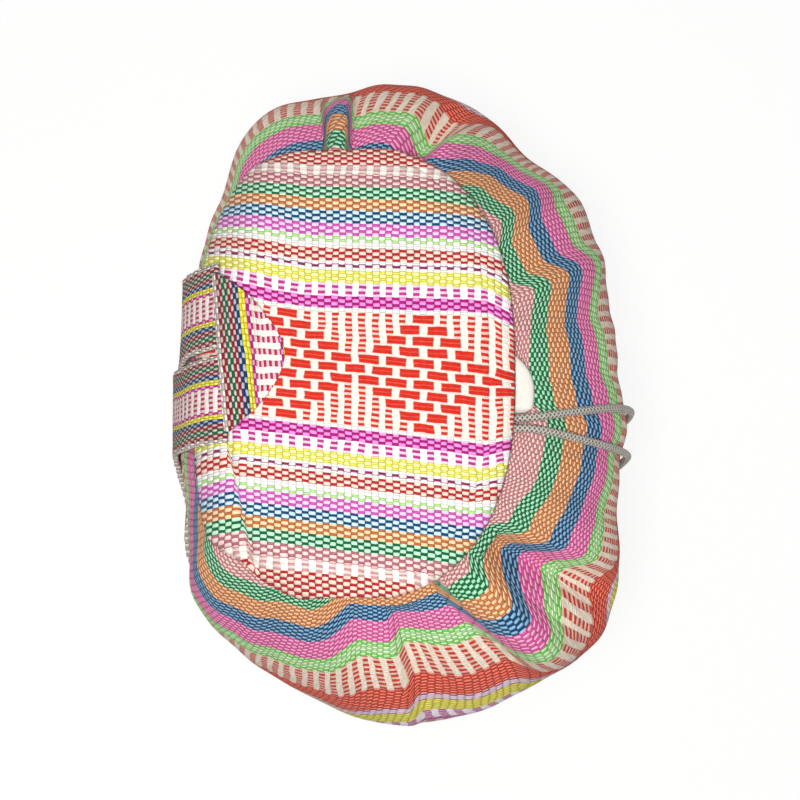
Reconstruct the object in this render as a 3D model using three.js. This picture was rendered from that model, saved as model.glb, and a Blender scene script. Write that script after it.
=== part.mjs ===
// A soft drawstring backpack of hand-woven striped cloth, stuffed and standing on its base.
// Millimetres, +Z up, the front faces -Y, the shoulder straps are at the back (+Y).
// The origin is the middle of the base, on the floor.
import * as THREE from 'three';
import { mergeVertices } from 'three/addons/utils/BufferGeometryUtils.js';

// Cloth, band and cord stock
const CLOTH = 2.2;
const LINING_CLOTH = 1.2;
const LID_CLOTH = 2.6;
const BAND_THICKNESS = 2.2;
const BAND_WIDTH = 40;
const CORD_DIAMETER = 4.4;
const SEWN_GAP = 0.35;

// Stuffed body: the oval base, the widest ring (belly) and the gathered mouth
const BASE_WIDTH = 250;
const BASE_DEPTH = 160;
const BASE_SQUARENESS = 2.8;
const BASE_CORNER = 14;
const BELLY_WIDTH = 316;
const BELLY_DEPTH = 214;
const BELLY_SQUARENESS = 2.45;
const MOUTH_WIDTH = 176;
const MOUTH_DEPTH = 124;
const MOUTH_SQUARENESS = 2.2;
const MOUTH_HEIGHT = 290;
const MOUTH_SETBACK = 15;
const MOUTH_SIDE_SHIFT = -8;

// Shoulder between mouth and belly: its drop, and the cloth it takes, at the front and at the sides
const SHOULDER_DROP_FRONT = 46;
const SHOULDER_DROP_SIDE = 66;
const SHOULDER_CLOTH_FRONT = 76;
const SHOULDER_CLOTH_SIDE = 104;
const SHOULDER_ROUNDNESS = 1.6;
const TUBE_HEIGHT = 316;

// Drawstring casing: the hem of the mouth, turned under round the cord
const HEM_DEPTH = 14;
const CORD_CLEARANCE = 1.5;
const HEM_DROP = CORD_DIAMETER + CLOTH + 2 * CORD_CLEARANCE;

// Lid flap
const LID_WIDTH = 213;
const LID_SIDE_SHIFT = 4;
const LID_MIDDLE = 30;
const LID_FRONT_REACH = 80;
const LID_BACK_REACH = 67;
const LID_FRONT_SQUARENESS = 2.55;
const LID_BACK_SQUARENESS = 3.2;
const LID_CROWN = 5;
const LID_REST = 3.2;
const LID_SEAM_REST = 1.4;
const STRIPE_RIDGE = 0.5;
const LID_STRIPES = 18;

// Straps and the half-moon patch over their sewn ends
const STRAP_SPACING = 44;
const STRAP_SIDE_SHIFT = 9;
const STRAP_UNDER_PATCH = 5;
const PATCH_BACK = 80;
const PATCH_WIDTH = 78;
const PATCH_DEPTH = 26;
const PATCH_THICKNESS = 2;

// Lining, with the lip that swells up in the gap at the front of the mouth
const LINING_GAP = 1.8;
const LINING_SLACK = 20;
const LINING_SLACK_FROM = 60;
const LINING_SLACK_TO = 150;
const LIP_HEIGHT = 24.5;
const LIP_ANGLE = 273;
const LIP_HALF_ANGLES = [15, 20];

// Knots that end the drawstring
const KNOT_RADIUS = 3.5;
const KNOT_CORD = 3.3;
const KNOT_STRETCH = 1.4;

// Facets; their columns lean with the slanting folds
const AROUND = 68;
const LINING_AROUND = 42;
const LEANS = [
  { at: 208, half: 50, lean: 3 },
  { at: 355.5, half: 40, lean: -8 },
];
const LEAN_END = 110;
const FULL_TURN = 2 * Math.PI;

// Broad swellings of the stuffed cloth: at and half widths in degrees from +X towards +Y,
// out is a shift away from the middle, start and end are millimetres of cloth below the mouth.
const SWELLINGS = [
  { at: 2, half: [14, 12], out: 6.5, start: -10, end: 180 },
  { at: 27, half: [22, 18], out: 12, start: -20, end: 200 },
  { at: 74, half: [18, 14], out: -3, start: -10, end: 200 },
  { at: 136, half: [18, 18], out: 12.5, start: -40, end: 108 },
  { at: 164, half: [20, 20], out: -5.5, start: 0, end: 220 },
  { at: 200, half: [18, 14], out: -3, start: 0, end: 220 },
  { at: 222, half: [20, 20], out: 10.5, start: 10, end: 190 },
  { at: 246, half: [18, 18], out: -3, start: 10, end: 190 },
  { at: 278, half: [18, 16], out: -4, start: -10, end: 200 },
  { at: 298, half: [12, 10], out: -4.5, start: -10, end: 200 },
  { at: 313, half: [16, 14], out: -3.5, start: -10, end: 200 },
  { at: 333, half: [16, 12], out: -13, start: -10, end: 160 },
];

// Gathers and creases that the drawstring pulls into the shoulder. lean is how far a fold turns
// sideways in degrees for each 100 mm of cloth, up raises it (a pleat) or sinks it (a crease),
// quick under 1 brings it to its full depth closer to the mouth.
const FOLDS = [
  { at: 10.5, lean: 0, half: [5, 5], out: 9, up: 6, start: 18, end: 92 },
  { at: 355.5, lean: -8, half: [7, 9], out: -15, up: -8, start: 14, end: 92, quick: 0.6 },
  { at: 184, lean: 0, half: [3, 14], out: -7, up: -2, start: 14, end: 135, quick: 0.6 },
  { at: 204, lean: 9, half: [6, 6.5], out: 10, up: 9, start: 10, end: 86 },
  { at: 216.5, lean: -5, half: [6, 9], out: -14, up: -10, start: 12, end: 95, quick: 0.6 },
  { at: 290, lean: 0, half: [9, 9], out: -3, up: -1, start: 14, end: 90 },
  { at: 272, lean: 0, half: [30, 26], out: 7, up: -8, start: -14, end: 14 },
];

const clamp = THREE.MathUtils.clamp;
const lerp = THREE.MathUtils.lerp;
const smoothstep = THREE.MathUtils.smoothstep;
const degrees = THREE.MathUtils.radToDeg;
const radians = THREE.MathUtils.degToRad;

/** Radius of a superellipse of the given width (X) and depth (Y) at an angle. */
function ovalRadius(angle, width, depth, squareness) {
  const across = Math.abs(Math.cos(angle)) / (width / 2);
  const along = Math.abs(Math.sin(angle)) / (depth / 2);
  return (across ** squareness + along ** squareness) ** (-1 / squareness);
}

/** A fold's strength from 0 to 1: a raised cosine across it, half a sine wave down the cloth. */
function foldStrength(fold, angle, cloth) {
  const centre = fold.at + ((fold.lean ?? 0) * cloth) / 100;
  const away = THREE.MathUtils.euclideanModulo(degrees(angle) - centre + 180, 360) - 180;
  const share = clamp(away / (away < 0 ? fold.half[0] : fold.half[1]), -1, 1);
  const run = clamp((cloth - fold.start) / (fold.end - fold.start), 0, 1);
  return Math.cos((share * Math.PI) / 2) ** 2 * Math.sin(run ** (fold.quick ?? 1) * Math.PI);
}

/** Outward shift of the broad swellings. */
function swelling(angle, cloth) {
  return SWELLINGS.reduce((sum, swell) => sum + swell.out * foldStrength(swell, angle, cloth), 0);
}

/** Cloth from the mouth to the belly at an angle, and the drop between them. */
function shoulderAt(angle) {
  const sideways = Math.cos(angle) ** 2;
  return {
    cloth: lerp(SHOULDER_CLOTH_FRONT, SHOULDER_CLOTH_SIDE, sideways),
    drop: lerp(SHOULDER_DROP_FRONT, SHOULDER_DROP_SIDE, sideways),
  };
}

/** Middle of the body cloth, `cloth` millimetres below the mouth, without its gathers. */
function smoothBodyPoint(angle, cloth) {
  const shoulder = shoulderAt(angle);
  const turn = (Math.PI / 2) * clamp(cloth / shoulder.cloth, 0, 1);
  const outward = Math.sin(turn) ** (2 / SHOULDER_ROUNDNESS);
  const height = Math.cos(turn) ** (2 / SHOULDER_ROUNDNESS);
  const down = clamp((cloth - shoulder.cloth) / (TUBE_HEIGHT - shoulder.cloth), 0, 1);
  const mouth = ovalRadius(angle, MOUTH_WIDTH, MOUTH_DEPTH, MOUTH_SQUARENESS);
  const belly = ovalRadius(angle, BELLY_WIDTH, BELLY_DEPTH, BELLY_SQUARENESS);
  const base = ovalRadius(angle, BASE_WIDTH, BASE_DEPTH, BASE_SQUARENESS);
  const taper = (belly - base) * (1 - Math.cos((down * Math.PI) / 2));
  const radius = lerp(mouth, belly, outward) - taper + swelling(angle, cloth);
  const bellyHeight = MOUTH_HEIGHT - shoulder.drop;
  return new THREE.Vector3(
    radius * Math.cos(angle) + MOUTH_SIDE_SHIFT * (1 - outward),
    radius * Math.sin(angle) + MOUTH_SETBACK * (1 - outward),
    bellyHeight + shoulder.drop * height - (bellyHeight - BASE_CORNER) * down,
  );
}

/** Middle of the body cloth with its gathers. */
function bodyPoint(angle, cloth) {
  const point = smoothBodyPoint(angle, cloth);
  for (const fold of FOLDS) {
    const strength = foldStrength(fold, angle, cloth);
    point.x += fold.out * strength * Math.cos(angle);
    point.y += fold.out * strength * Math.sin(angle);
    point.z += fold.up * strength;
  }
  return point;
}

/** Outward normal of a cloth surface, from short steps round the bag and down the cloth. */
function clothNormal(surface, angle, cloth) {
  const step = 0.02;
  const round = surface(angle + step, cloth).sub(surface(angle - step, cloth));
  const down = surface(angle, cloth + 1).sub(surface(angle, Math.max(cloth - 1, 0)));
  return down.cross(round).normalize();
}
const bodyNormal = (angle, cloth) => clothNormal(bodyPoint, angle, cloth);
const smoothBodyNormal = (angle, cloth) => clothNormal(smoothBodyPoint, angle, cloth);

/** Angle of a column of facets: it starts at the mouth, leans with the folds, then turns back. */
function columnAngle(angle, cloth) {
  const below = clamp(cloth, HEM_DEPTH, LEAN_END) - HEM_DEPTH;
  const back = 1 - smoothstep(cloth, LEAN_END, TUBE_HEIGHT);
  return LEANS.reduce((sum, { at, half, lean }) => {
    const away = THREE.MathUtils.euclideanModulo(degrees(angle) - at + 180, 360) - 180;
    const near = Math.cos((clamp(away / half, -1, 1) * Math.PI) / 2) ** 2;
    return sum + radians((lean * below * near * back) / 100);
  }, angle);
}

/** Body cloth at a height above (+) or below (-) its middle. */
function clothLayer(angle, cloth, offset) {
  const leant = columnAngle(angle, cloth);
  return bodyPoint(leant, cloth).addScaledVector(bodyNormal(leant, cloth), offset);
}

/** A closed solid from rings of points. A ring of one point is a pole; without poles the last
 * ring joins the first. Rings run anticlockwise seen from above, up the inside and down the outside. */
function ringSolid(rings) {
  const closed = rings[0].length > 1;
  const corners = [];
  const links = closed ? rings.length : rings.length - 1;
  for (let i = 0; i < links; i++) {
    const upper = rings[i];
    const lower = rings[(i + 1) % rings.length];
    const count = Math.max(upper.length, lower.length);
    for (let j = 0; j < count; j++) {
      const a = upper[j % upper.length];
      const b = upper[(j + 1) % upper.length];
      const c = lower[(j + 1) % lower.length];
      const d = lower[j % lower.length];
      if (upper.length > 1) corners.push(a, d, b);
      if (lower.length > 1) corners.push(b, d, c);
    }
  }
  return mergeVertices(new THREE.BufferGeometry().setFromPoints(corners));
}

/** A closed sheet from rows of points on its upper and its lower face. */
function sheetSolid(upper, lower) {
  const corners = [];
  const quad = (a, b, c, d) => corners.push(a, b, c, a, c, d);
  const rows = upper.length;
  const columns = upper[0].length;
  for (let i = 0; i < rows - 1; i++) {
    for (let j = 0; j < columns - 1; j++) {
      quad(upper[i][j], upper[i][j + 1], upper[i + 1][j + 1], upper[i + 1][j]);
      quad(lower[i][j], lower[i + 1][j], lower[i + 1][j + 1], lower[i][j + 1]);
    }
    quad(upper[i][0], upper[i + 1][0], lower[i + 1][0], lower[i][0]);
    const last = columns - 1;
    quad(upper[i][last], lower[i][last], lower[i + 1][last], upper[i + 1][last]);
  }
  for (let j = 0; j < columns - 1; j++) {
    const end = rows - 1;
    quad(upper[0][j], lower[0][j], lower[0][j + 1], upper[0][j + 1]);
    quad(upper[end][j], upper[end][j + 1], lower[end][j + 1], lower[end][j]);
  }
  return mergeVertices(new THREE.BufferGeometry().setFromPoints(corners));
}

/** Angles round the bag, closer together where the deep folds are. */
function anglesAround(count) {
  const crowding = (angle) =>
    FOLDS.reduce((sum, fold) => {
      const away = THREE.MathUtils.euclideanModulo(degrees(angle) - fold.at + 180, 360) - 180;
      return sum + Math.exp(-((away / 11) ** 2));
    }, 1);
  const samples = 720;
  const reached = [0];
  for (let i = 0; i < samples; i++) {
    reached.push(reached[i] + crowding((i * FULL_TURN) / samples));
  }
  const total = reached[samples];
  let at = 0;
  return Array.from({ length: count }, (_, i) => {
    while (reached[at + 1] < (i * total) / count) at++;
    const part = ((i * total) / count - reached[at]) / (reached[at + 1] - reached[at]);
    return ((at + part) * FULL_TURN) / samples;
  });
}

const fabric = (color, roughness) => new THREE.MeshStandardMaterial({ color, roughness, metalness: 0 });
const wovenCloth = fabric('#d8607a', 0.9);
const wovenBand = fabric('#8e1f2e', 0.9);
const whiteCotton = fabric('#f4ede4', 0.85);
const braidedCord = fabric('#d9d4ca', 0.7);

const bag = new THREE.Group();

/** Adds one named piece of the bag. */
function addPiece(name, geometry, material) {
  const mesh = new THREE.Mesh(geometry, material);
  mesh.name = name;
  bag.add(mesh);
}

// Body: one tube of cloth. Its hem is turned under at the mouth as the casing of the drawstring,
// its lower edge curls in on the floor round the base panel.
const HEM_TURNS = [1, 0.66, 0.33, 0];
const OUTER_SHOULDER = [7, 15, 23, 32, 41, 51, 61, 72, 84, 98, 115];
const INNER_SHOULDER = [7, 15, 32, 51, 72, 98];
const WALL_STEPS = [140, 195, 255, TUBE_HEIGHT];
const CORNER_TURNS = [0.5, 1];
const TURN_RADIUS = HEM_DROP / 2;

/** Points down one section of the body, `side` above (+) or below (-) the middle of the cloth. */
function bodySection(angle, side, shoulderSteps) {
  const offset = (side * CLOTH) / 2;
  const rim = bodyPoint(angle, 0);
  const up = bodyNormal(angle, 0);
  const points = [bodyPoint(angle, HEM_DEPTH).addScaledVector(up, -HEM_DROP - offset)];
  const inward = bodyPoint(angle, 0).sub(bodyPoint(angle, 2));
  inward.addScaledVector(up, -inward.dot(up)).normalize();
  for (const turn of HEM_TURNS) {
    const bend = turn * Math.PI;
    const point = rim.clone().addScaledVector(up, -TURN_RADIUS + (TURN_RADIUS + offset) * Math.cos(bend));
    points.push(point.addScaledVector(inward, (TURN_RADIUS + offset) * Math.sin(bend)));
  }
  for (const cloth of [...shoulderSteps, ...WALL_STEPS]) {
    points.push(clothLayer(angle, cloth, offset));
  }
  const foot = bodyPoint(angle, TUBE_HEIGHT);
  const outward = new THREE.Vector3(Math.cos(angle), Math.sin(angle), 0);
  for (const turn of CORNER_TURNS) {
    const bend = (turn * Math.PI) / 2;
    const reach = BASE_CORNER - CLOTH / 2 + offset;
    const point = foot.clone().addScaledVector(outward, -(BASE_CORNER - CLOTH / 2) + reach * Math.cos(bend));
    point.z = BASE_CORNER - reach * Math.sin(bend);
    points.push(point);
  }
  return points;
}

/** Turns sections, one for each angle, into rings, one for each step of the section. */
const ringsOf = (sections) => sections[0].map((_, step) => sections.map((section) => section[step]));

const bodyAngles = anglesAround(AROUND);
const outerRings = ringsOf(bodyAngles.map((angle) => bodySection(angle, 1, OUTER_SHOULDER)));
const innerRings = ringsOf(bodyAngles.map((angle) => bodySection(angle, -1, INNER_SHOULDER)));
addPiece('body', ringSolid([...outerRings, ...innerRings.reverse()]), wovenCloth);

// Base panel: the flat oval that closes the tube, sewn inside its lower edge.
const BASE_SEAM = BASE_CORNER - CLOTH / 2 + SEWN_GAP;
function baseOutline(angle, height) {
  const foot = bodyPoint(angle, TUBE_HEIGHT);
  const outward = new THREE.Vector3(Math.cos(angle), Math.sin(angle), 0);
  const point = foot.addScaledVector(outward, -BASE_SEAM);
  point.z = height;
  return point;
}
const baseRing = (height) => bodyAngles.map((angle) => baseOutline(angle, height));
const onAxis = (height) => [new THREE.Vector3(0, 0, height)];
const basePanel = ringSolid([onAxis(CLOTH), baseRing(CLOTH), baseRing(0), onAxis(0)]);
addPiece('base_panel', basePanel, wovenCloth);

// Lining: a plain cotton bag sewn under the casing. It hangs slack inside the gathers and lies
// against the wall below them. At the front of the mouth its edge swells up as a smooth lip that
// shows between the lid and the rim.
const LINING_DEPTH = (CLOTH + LINING_CLOTH) / 2 + LINING_GAP;
const HEM_SLANT = 2;
const LINING_STEPS = [46, 98, ...WALL_STEPS.slice(0, -1)];
// The lip from its free edge to the seam: the step inwards where the lining lies flat, inside the
// casing and where it curls out over the rim, and the share of the height that it rises.
const LIP_STEPS = [
  { flat: 7.2, inside: 9.5, over: -6, raised: 0.93 },
  { flat: 5.4, inside: 11, over: 0, raised: 1 },
  { flat: 3.6, inside: 13, over: 9, raised: 0.8 },
  { flat: 1.8, inside: 12, over: 12, raised: 0.2 },
];

/** How far the lip of the lining rises at an angle, from 0 to 1. */
function lipShare(angle) {
  const away = degrees(angle) - LIP_ANGLE;
  return 1 - smoothstep(Math.abs(away) / LIP_HALF_ANGLES[away < 0 ? 0 : 1], 0.4, 1);
}

/** Points down one section of the lining, `side` outside (+) or inside (-) the middle of the cotton. */
function liningSection(angle, side) {
  const offset = (side * LINING_CLOTH) / 2;
  const outward = new THREE.Vector3(Math.cos(angle), Math.sin(angle), 0);
  const round = new THREE.Vector3(-Math.sin(angle), Math.cos(angle), 0);
  const seam = bodyPoint(angle, 0);
  seam.z -= HEM_DROP + LINING_DEPTH + HEM_SLANT;
  const lip = lipShare(angle);
  const middles = LIP_STEPS.map(({ flat, inside, over, raised }) => {
    const within = lerp(flat, inside, smoothstep(lip, 0, 0.25));
    const point = seam.clone().addScaledVector(outward, -lerp(within, over, smoothstep(lip, 0.65, 1)));
    point.z += lip * raised * LIP_HEIGHT;
    return point;
  });
  const points = middles.map((middle, i) => {
    const ahead = (middles[i + 1] ?? seam).clone().sub(middles[i - 1] ?? middle);
    return middle.clone().addScaledVector(ahead.cross(round).normalize(), offset);
  });
  points.push(seam.clone().setZ(seam.z + offset));
  for (const cloth of LINING_STEPS) {
    const slack = LINING_SLACK * (1 - smoothstep(cloth, LINING_SLACK_FROM, LINING_SLACK_TO));
    const facing = smoothBodyNormal(angle, cloth);
    points.push(smoothBodyPoint(angle, cloth).addScaledVector(facing, offset - LINING_DEPTH - slack));
  }
  points.push(baseOutline(angle, CLOTH + LINING_GAP + LINING_CLOTH / 2 - offset));
  return points;
}

const liningAngles = anglesAround(LINING_AROUND);
const liningFloor = CLOTH + LINING_GAP;
const liningOutside = ringsOf(liningAngles.map((angle) => liningSection(angle, 1)));
const liningInside = ringsOf(liningAngles.map((angle) => liningSection(angle, -1)));
const liningRings = [
  onAxis(liningFloor + LINING_CLOTH),
  ...liningInside.reverse(),
  ...liningOutside,
  onAxis(liningFloor),
];
addPiece('lining', ringSolid(liningRings), whiteCotton);

// Lid: a D-shaped flap, sewn down along the back of the mouth, crowned over the gathers.
// Its woven stripes run from front to back and stand up as low ridges.
const LID_ROWS = [0, 0.05, 0.11, 0.24, 0.42, 0.6, 0.76, 0.87, 0.94, 1];

/** Height of the body cloth under a plan point, found by halving the share of the shoulder. */
function shoulderHeight(x, y) {
  let low = 0;
  let high = 1;
  let point;
  for (let i = 0; i < 24; i++) {
    const share = (low + high) / 2;
    const outward = Math.sin((share * Math.PI) / 2) ** (2 / SHOULDER_ROUNDNESS);
    const dx = x - MOUTH_SIDE_SHIFT * (1 - outward);
    const dy = y - MOUTH_SETBACK * (1 - outward);
    const angle = Math.atan2(dy, dx);
    point = smoothBodyPoint(angle, share * shoulderAt(angle).cloth);
    const reach = (point.x - x) * Math.cos(angle) + (point.y - y) * Math.sin(angle);
    if (reach < 0) low = share;
    else high = share;
  }
  return point.z;
}

/** Front and back edge of the lid at a place across it. */
function lidEdges(x) {
  const share = clamp(Math.abs(x - LID_SIDE_SHIFT) / (LID_WIDTH / 2), 0, 1);
  const front = (1 - share ** LID_FRONT_SQUARENESS) ** (1 / LID_FRONT_SQUARENESS);
  const back = (1 - share ** LID_BACK_SQUARENESS) ** (1 / LID_BACK_SQUARENESS);
  return { front: LID_MIDDLE - LID_FRONT_REACH * front, back: LID_MIDDLE + LID_BACK_REACH * back };
}

/** Middle of the lid at a plan point: laid on the shoulder, crowned, sewn down at the back. */
function lidHeight(x, y) {
  const { front, back } = lidEdges(x);
  const run = clamp((y - front) / (back - front), 0, 1);
  const toSide = Math.abs(x - LID_SIDE_SHIFT) / (LID_WIDTH / 2);
  const toEnd = Math.abs(2 * run - 1);
  const crown = LID_CROWN * (1 - toSide ** 4) * (1 - toEnd ** 6);
  const rest = lerp(LID_REST, LID_SEAM_REST, smoothstep(run, 0.8, 1));
  const slope = (shoulderHeight(x, y - 1) - shoulderHeight(x, y + 1)) / 2;
  return shoulderHeight(x, y) + ((CLOTH + LID_CLOTH) / 2) * Math.hypot(1, slope) + rest + crown;
}

const LID_TIP = 0.985;
const LID_CROWDING = 0.35;
const lidColumns = Array.from({ length: 2 * LID_STRIPES + 1 }, (_, i) => {
  const share = i / LID_STRIPES - 1;
  const crowded = lerp(share, Math.sin((share * Math.PI) / 2), LID_CROWDING);
  return { x: LID_SIDE_SHIFT + crowded * (LID_WIDTH / 2) * LID_TIP, ridge: i % 2 };
});
function lidFace(side) {
  return LID_ROWS.map((run) =>
    lidColumns.map(({ x, ridge }) => {
      const { front, back } = lidEdges(x);
      const y = lerp(front, back, run);
      const lift = side > 0 ? ridge * STRIPE_RIDGE : 0;
      return new THREE.Vector3(x, y, lidHeight(x, y) + (side * LID_CLOTH) / 2 + lift);
    }),
  );
}
addPiece('lid', sheetSolid(lidFace(1), lidFace(-1)), wovenCloth);

/** Top of the lid, over its ridges. */
const lidTop = (x, y) => lidHeight(x, y) + LID_CLOTH / 2 + STRIPE_RIDGE;

// Shoulder straps: woven bands sewn side by side on the back of the lid. They hang down behind
// the bag, clear of the back wall, and are sewn to it at the two lower corners.
const STRAP_STEPS = 24;
const STRAP_EDGES = [-0.5, -0.25, 0, 0.25, 0.5];
const STRAP_RIDGE = 0.4;
const STRAP_LIFT = 1;
const STRAP_EDGE_INSET = 2;
const STRAP_BEND = 7;
// Places down the back: the angle from the side, the turn of both straps to one side, the cloth
// below the mouth and the gap behind the band.
const STRAP_HANG = [
  { angle: 79, askew: 5, cloth: 70, clear: 1 },
  { angle: 76, askew: 4, cloth: 110, clear: 2.7 },
  { angle: 70, askew: 2.5, cloth: 145, clear: 5 },
  { angle: 62, askew: 1, cloth: 180, clear: 15 },
  { angle: 52, askew: 0, cloth: 240, clear: 20 },
  { angle: 46, askew: 0, cloth: 285, clear: 9 },
];
const STRAP_SEAT = { angle: 43, from: 300, to: 316 };

/** One strap: stations with a middle and a facing, smoothed by a curve and lofted as a flat band. */
function strapGeometry(hand) {
  const seatOffset = (CLOTH + BAND_THICKNESS) / 2 + 2 * SEWN_GAP;
  const x = STRAP_SIDE_SHIFT + (hand * STRAP_SPACING) / 2;
  const { back } = lidEdges(x);
  const lidOffset = LID_CLOTH / 2 + STRIPE_RIDGE + STRAP_LIFT + BAND_THICKNESS / 2;
  const ground = (y) => Math.max(...STRAP_EDGES.map((edge) => lidHeight(x + edge * BAND_WIDTH, y)));
  const start = PATCH_BACK - STRAP_UNDER_PATCH;
  const onLid = [start, PATCH_BACK, (PATCH_BACK + back) / 2, back - STRAP_EDGE_INSET].map((y) => {
    const facing = new THREE.Vector3(0, ground(y - 1) - ground(y + 1), 2).normalize();
    const at = new THREE.Vector3(x, y, ground(y));
    return { at: at.addScaledVector(facing, lidOffset), facing };
  });
  const onWall = (degreesRound, askew, cloth, offset) => {
    const angle = radians((hand > 0 ? degreesRound : 180 - degreesRound) - askew);
    const facing = bodyNormal(angle, cloth);
    return { at: bodyPoint(angle, cloth).addScaledVector(facing, offset), facing };
  };
  const over = {
    at: new THREE.Vector3(x, back + STRAP_BEND, ground(back) - STRAP_BEND),
    facing: new THREE.Vector3(0, 1, 0.5),
  };
  const hanging = STRAP_HANG.map((place) =>
    onWall(place.angle, place.askew, place.cloth, place.clear + seatOffset),
  );
  const sewn = [STRAP_SEAT.from, STRAP_SEAT.to];
  const seat = sewn.map((cloth) => onWall(STRAP_SEAT.angle, 0, cloth, seatOffset));
  const stations = [...onLid, over, ...hanging, ...seat];
  const path = new THREE.CatmullRomCurve3(stations.map(({ at }) => at), false, 'centripetal');
  const facings = new THREE.CatmullRomCurve3(stations.map(({ facing }) => facing), false, 'centripetal');
  const faces = { 1: [], '-1': [] };
  for (let i = 0; i <= STRAP_STEPS; i++) {
    const middle = path.getPoint(i / STRAP_STEPS);
    const ahead = path.getTangent(i / STRAP_STEPS);
    const across = ahead.clone().cross(facings.getPoint(i / STRAP_STEPS)).normalize();
    const facing = across.clone().cross(ahead).normalize();
    for (const side of [1, -1]) {
      faces[side].push(STRAP_EDGES.map((edge, j) => {
        const lift = (side * BAND_THICKNESS) / 2 + (side > 0 ? (j % 2) * STRAP_RIDGE : 0);
        return middle.clone().addScaledVector(across, edge * BAND_WIDTH).addScaledVector(facing, lift);
      }));
    }
  }
  return sheetSolid(faces[1], faces[-1]);
}
addPiece('left_strap', strapGeometry(-1), wovenBand);
addPiece('right_strap', strapGeometry(1), wovenBand);

// Patch: a half-moon cut from the same band, sewn over the strap ends, straight edge to the back.
const PATCH_TIP = 0.96;
const PATCH_CURVE = 1.7;
const PATCH_SLACK = 2;
const PATCH_RAMP = 9;
const PATCH_COLUMNS = 12;
const PATCH_ROWS = [0, 0.2, 0.4, 0.6, 0.8, 1];
function patchFace(side) {
  const lifted = BAND_THICKNESS + STRAP_RIDGE + STRAP_LIFT + 4 * SEWN_GAP;
  const rampEnd = PATCH_BACK - STRAP_UNDER_PATCH - PATCH_SLACK;
  return PATCH_ROWS.map((run) =>
    Array.from({ length: PATCH_COLUMNS + 1 }, (_, i) => {
      const share = ((2 * i) / PATCH_COLUMNS - 1) * PATCH_TIP;
      const x = STRAP_SIDE_SHIFT + (share * PATCH_WIDTH) / 2;
      const depth = PATCH_DEPTH * (1 - Math.abs(share) ** PATCH_CURVE);
      const y = PATCH_BACK - depth * (1 - run);
      const lift = SEWN_GAP + lifted * smoothstep(y, rampEnd - PATCH_RAMP, rampEnd);
      const strapX = STRAP_SIDE_SHIFT + (Math.sign(share) * STRAP_SPACING) / 2;
      const ground = Math.max(lidTop(x, y), lidTop(strapX, y));
      const middle = ground + lift + PATCH_THICKNESS / 2;
      return new THREE.Vector3(x, y, middle + (side * PATCH_THICKNESS) / 2);
    }),
  );
}
addPiece('strap_patch', sheetSolid(patchFace(1), patchFace(-1)), wovenBand);

// Drawstring: a loop of braided cord in the casing, and two tails that come up out of the front of
// the mouth, run over the shoulder and hang down the front, each ending in a knot.
const CORD_SIDES = 8;
const LOOP_PLACES = 120;
const LOOP_STEPS = 40;
const TAIL_STEPS = 20;
const LOOP_INSET = 1.9;
const LOOP_OPENING = 3;
const LOOP_MIDDLE = 262;

/** A round cord along a curve. */
function cordGeometry(curve, steps) {
  const section = new THREE.Shape();
  for (let i = 0; i <= CORD_SIDES; i++) {
    const turn = (i * FULL_TURN) / CORD_SIDES;
    const x = (Math.cos(turn) * CORD_DIAMETER) / 2;
    const y = (Math.sin(turn) * CORD_DIAMETER) / 2;
    if (i === 0) section.moveTo(x, y);
    else section.lineTo(x, y);
  }
  const tube = new THREE.ExtrudeGeometry(section, { steps, extrudePath: curve, curveSegments: CORD_SIDES });
  tube.deleteAttribute('normal');
  tube.deleteAttribute('uv');
  return mergeVertices(tube);
}

const loopPoints = Array.from({ length: LOOP_PLACES + 1 }, (_, i) => {
  const angle = radians(LOOP_MIDDLE + LOOP_OPENING + ((360 - 2 * LOOP_OPENING) * i) / LOOP_PLACES);
  return bodyPoint(angle, LOOP_INSET).addScaledVector(bodyNormal(angle, 0), -TURN_RADIUS);
});
addPiece('drawstring_loop', cordGeometry(new THREE.CatmullRomCurve3(loopPoints), LOOP_STEPS), braidedCord);

// The routes of the tails: out of the mouth, over its rim, along the shoulder, then hanging freely.
const LEFT_ROUTE = [
  [-25.5, -37.4, 272],
  [-25.4, -38.4, 281.5],
  [-25.2, -41.4, 288.4],
  [-24.9, -48.5, 291.3],
  [-24.8, -55.5, 292],
  [-25.2, -62, 290.9],
  [-26, -68.5, 288.2],
  [-27, -75, 284.9],
  [-28, -82, 280.4],
  [-28.8, -88.5, 275.4],
  [-29.6, -96, 268.1],
  [-30.2, -103, 257.9],
  [-30.6, -107.8, 246],
  [-30.8, -108.6, 234],
  [-30.8, -108.2, 214],
  [-30.5, -107.6, 190],
  [-30.2, -107.2, 166],
  [-30, -107.2, 144],
];
const RIGHT_ROUTE = [
  [-20.3, -39.2, 271.5],
  [-20.3, -40.8, 280.5],
  [-20.2, -45.3, 287.4],
  [-20, -51, 290.4],
  [-19.7, -57, 291.4],
  [-19, -62.5, 290.9],
  [-17.9, -68, 288.8],
  [-16.7, -73.5, 286],
  [-15.4, -79.5, 282.8],
  [-14.1, -85.5, 278.7],
  [-12.7, -91.5, 274.1],
  [-11.2, -98, 267.7],
  [-9.9, -105, 258.6],
  [-9.3, -109.5, 248],
  [-9.2, -111, 236],
  [-9.4, -110.8, 216],
  [-9.8, -110.2, 190],
  [-10.2, -109.8, 160],
  [-10.4, -109.8, 132],
];

/** The knot under the end of a tail: a trefoil drawn tight, upright on the cord. */
function knotGeometry(end) {
  const knot = new THREE.TorusKnotGeometry(KNOT_RADIUS, KNOT_CORD / 2, 20, 6);
  const halfHeight = ((KNOT_RADIUS + KNOT_CORD) / 2) * KNOT_STRETCH;
  knot.scale(1, 1, KNOT_STRETCH);
  knot.translate(end.x, end.y, end.z - halfHeight - SEWN_GAP);
  knot.deleteAttribute('normal');
  knot.deleteAttribute('uv');
  return mergeVertices(knot);
}

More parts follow.
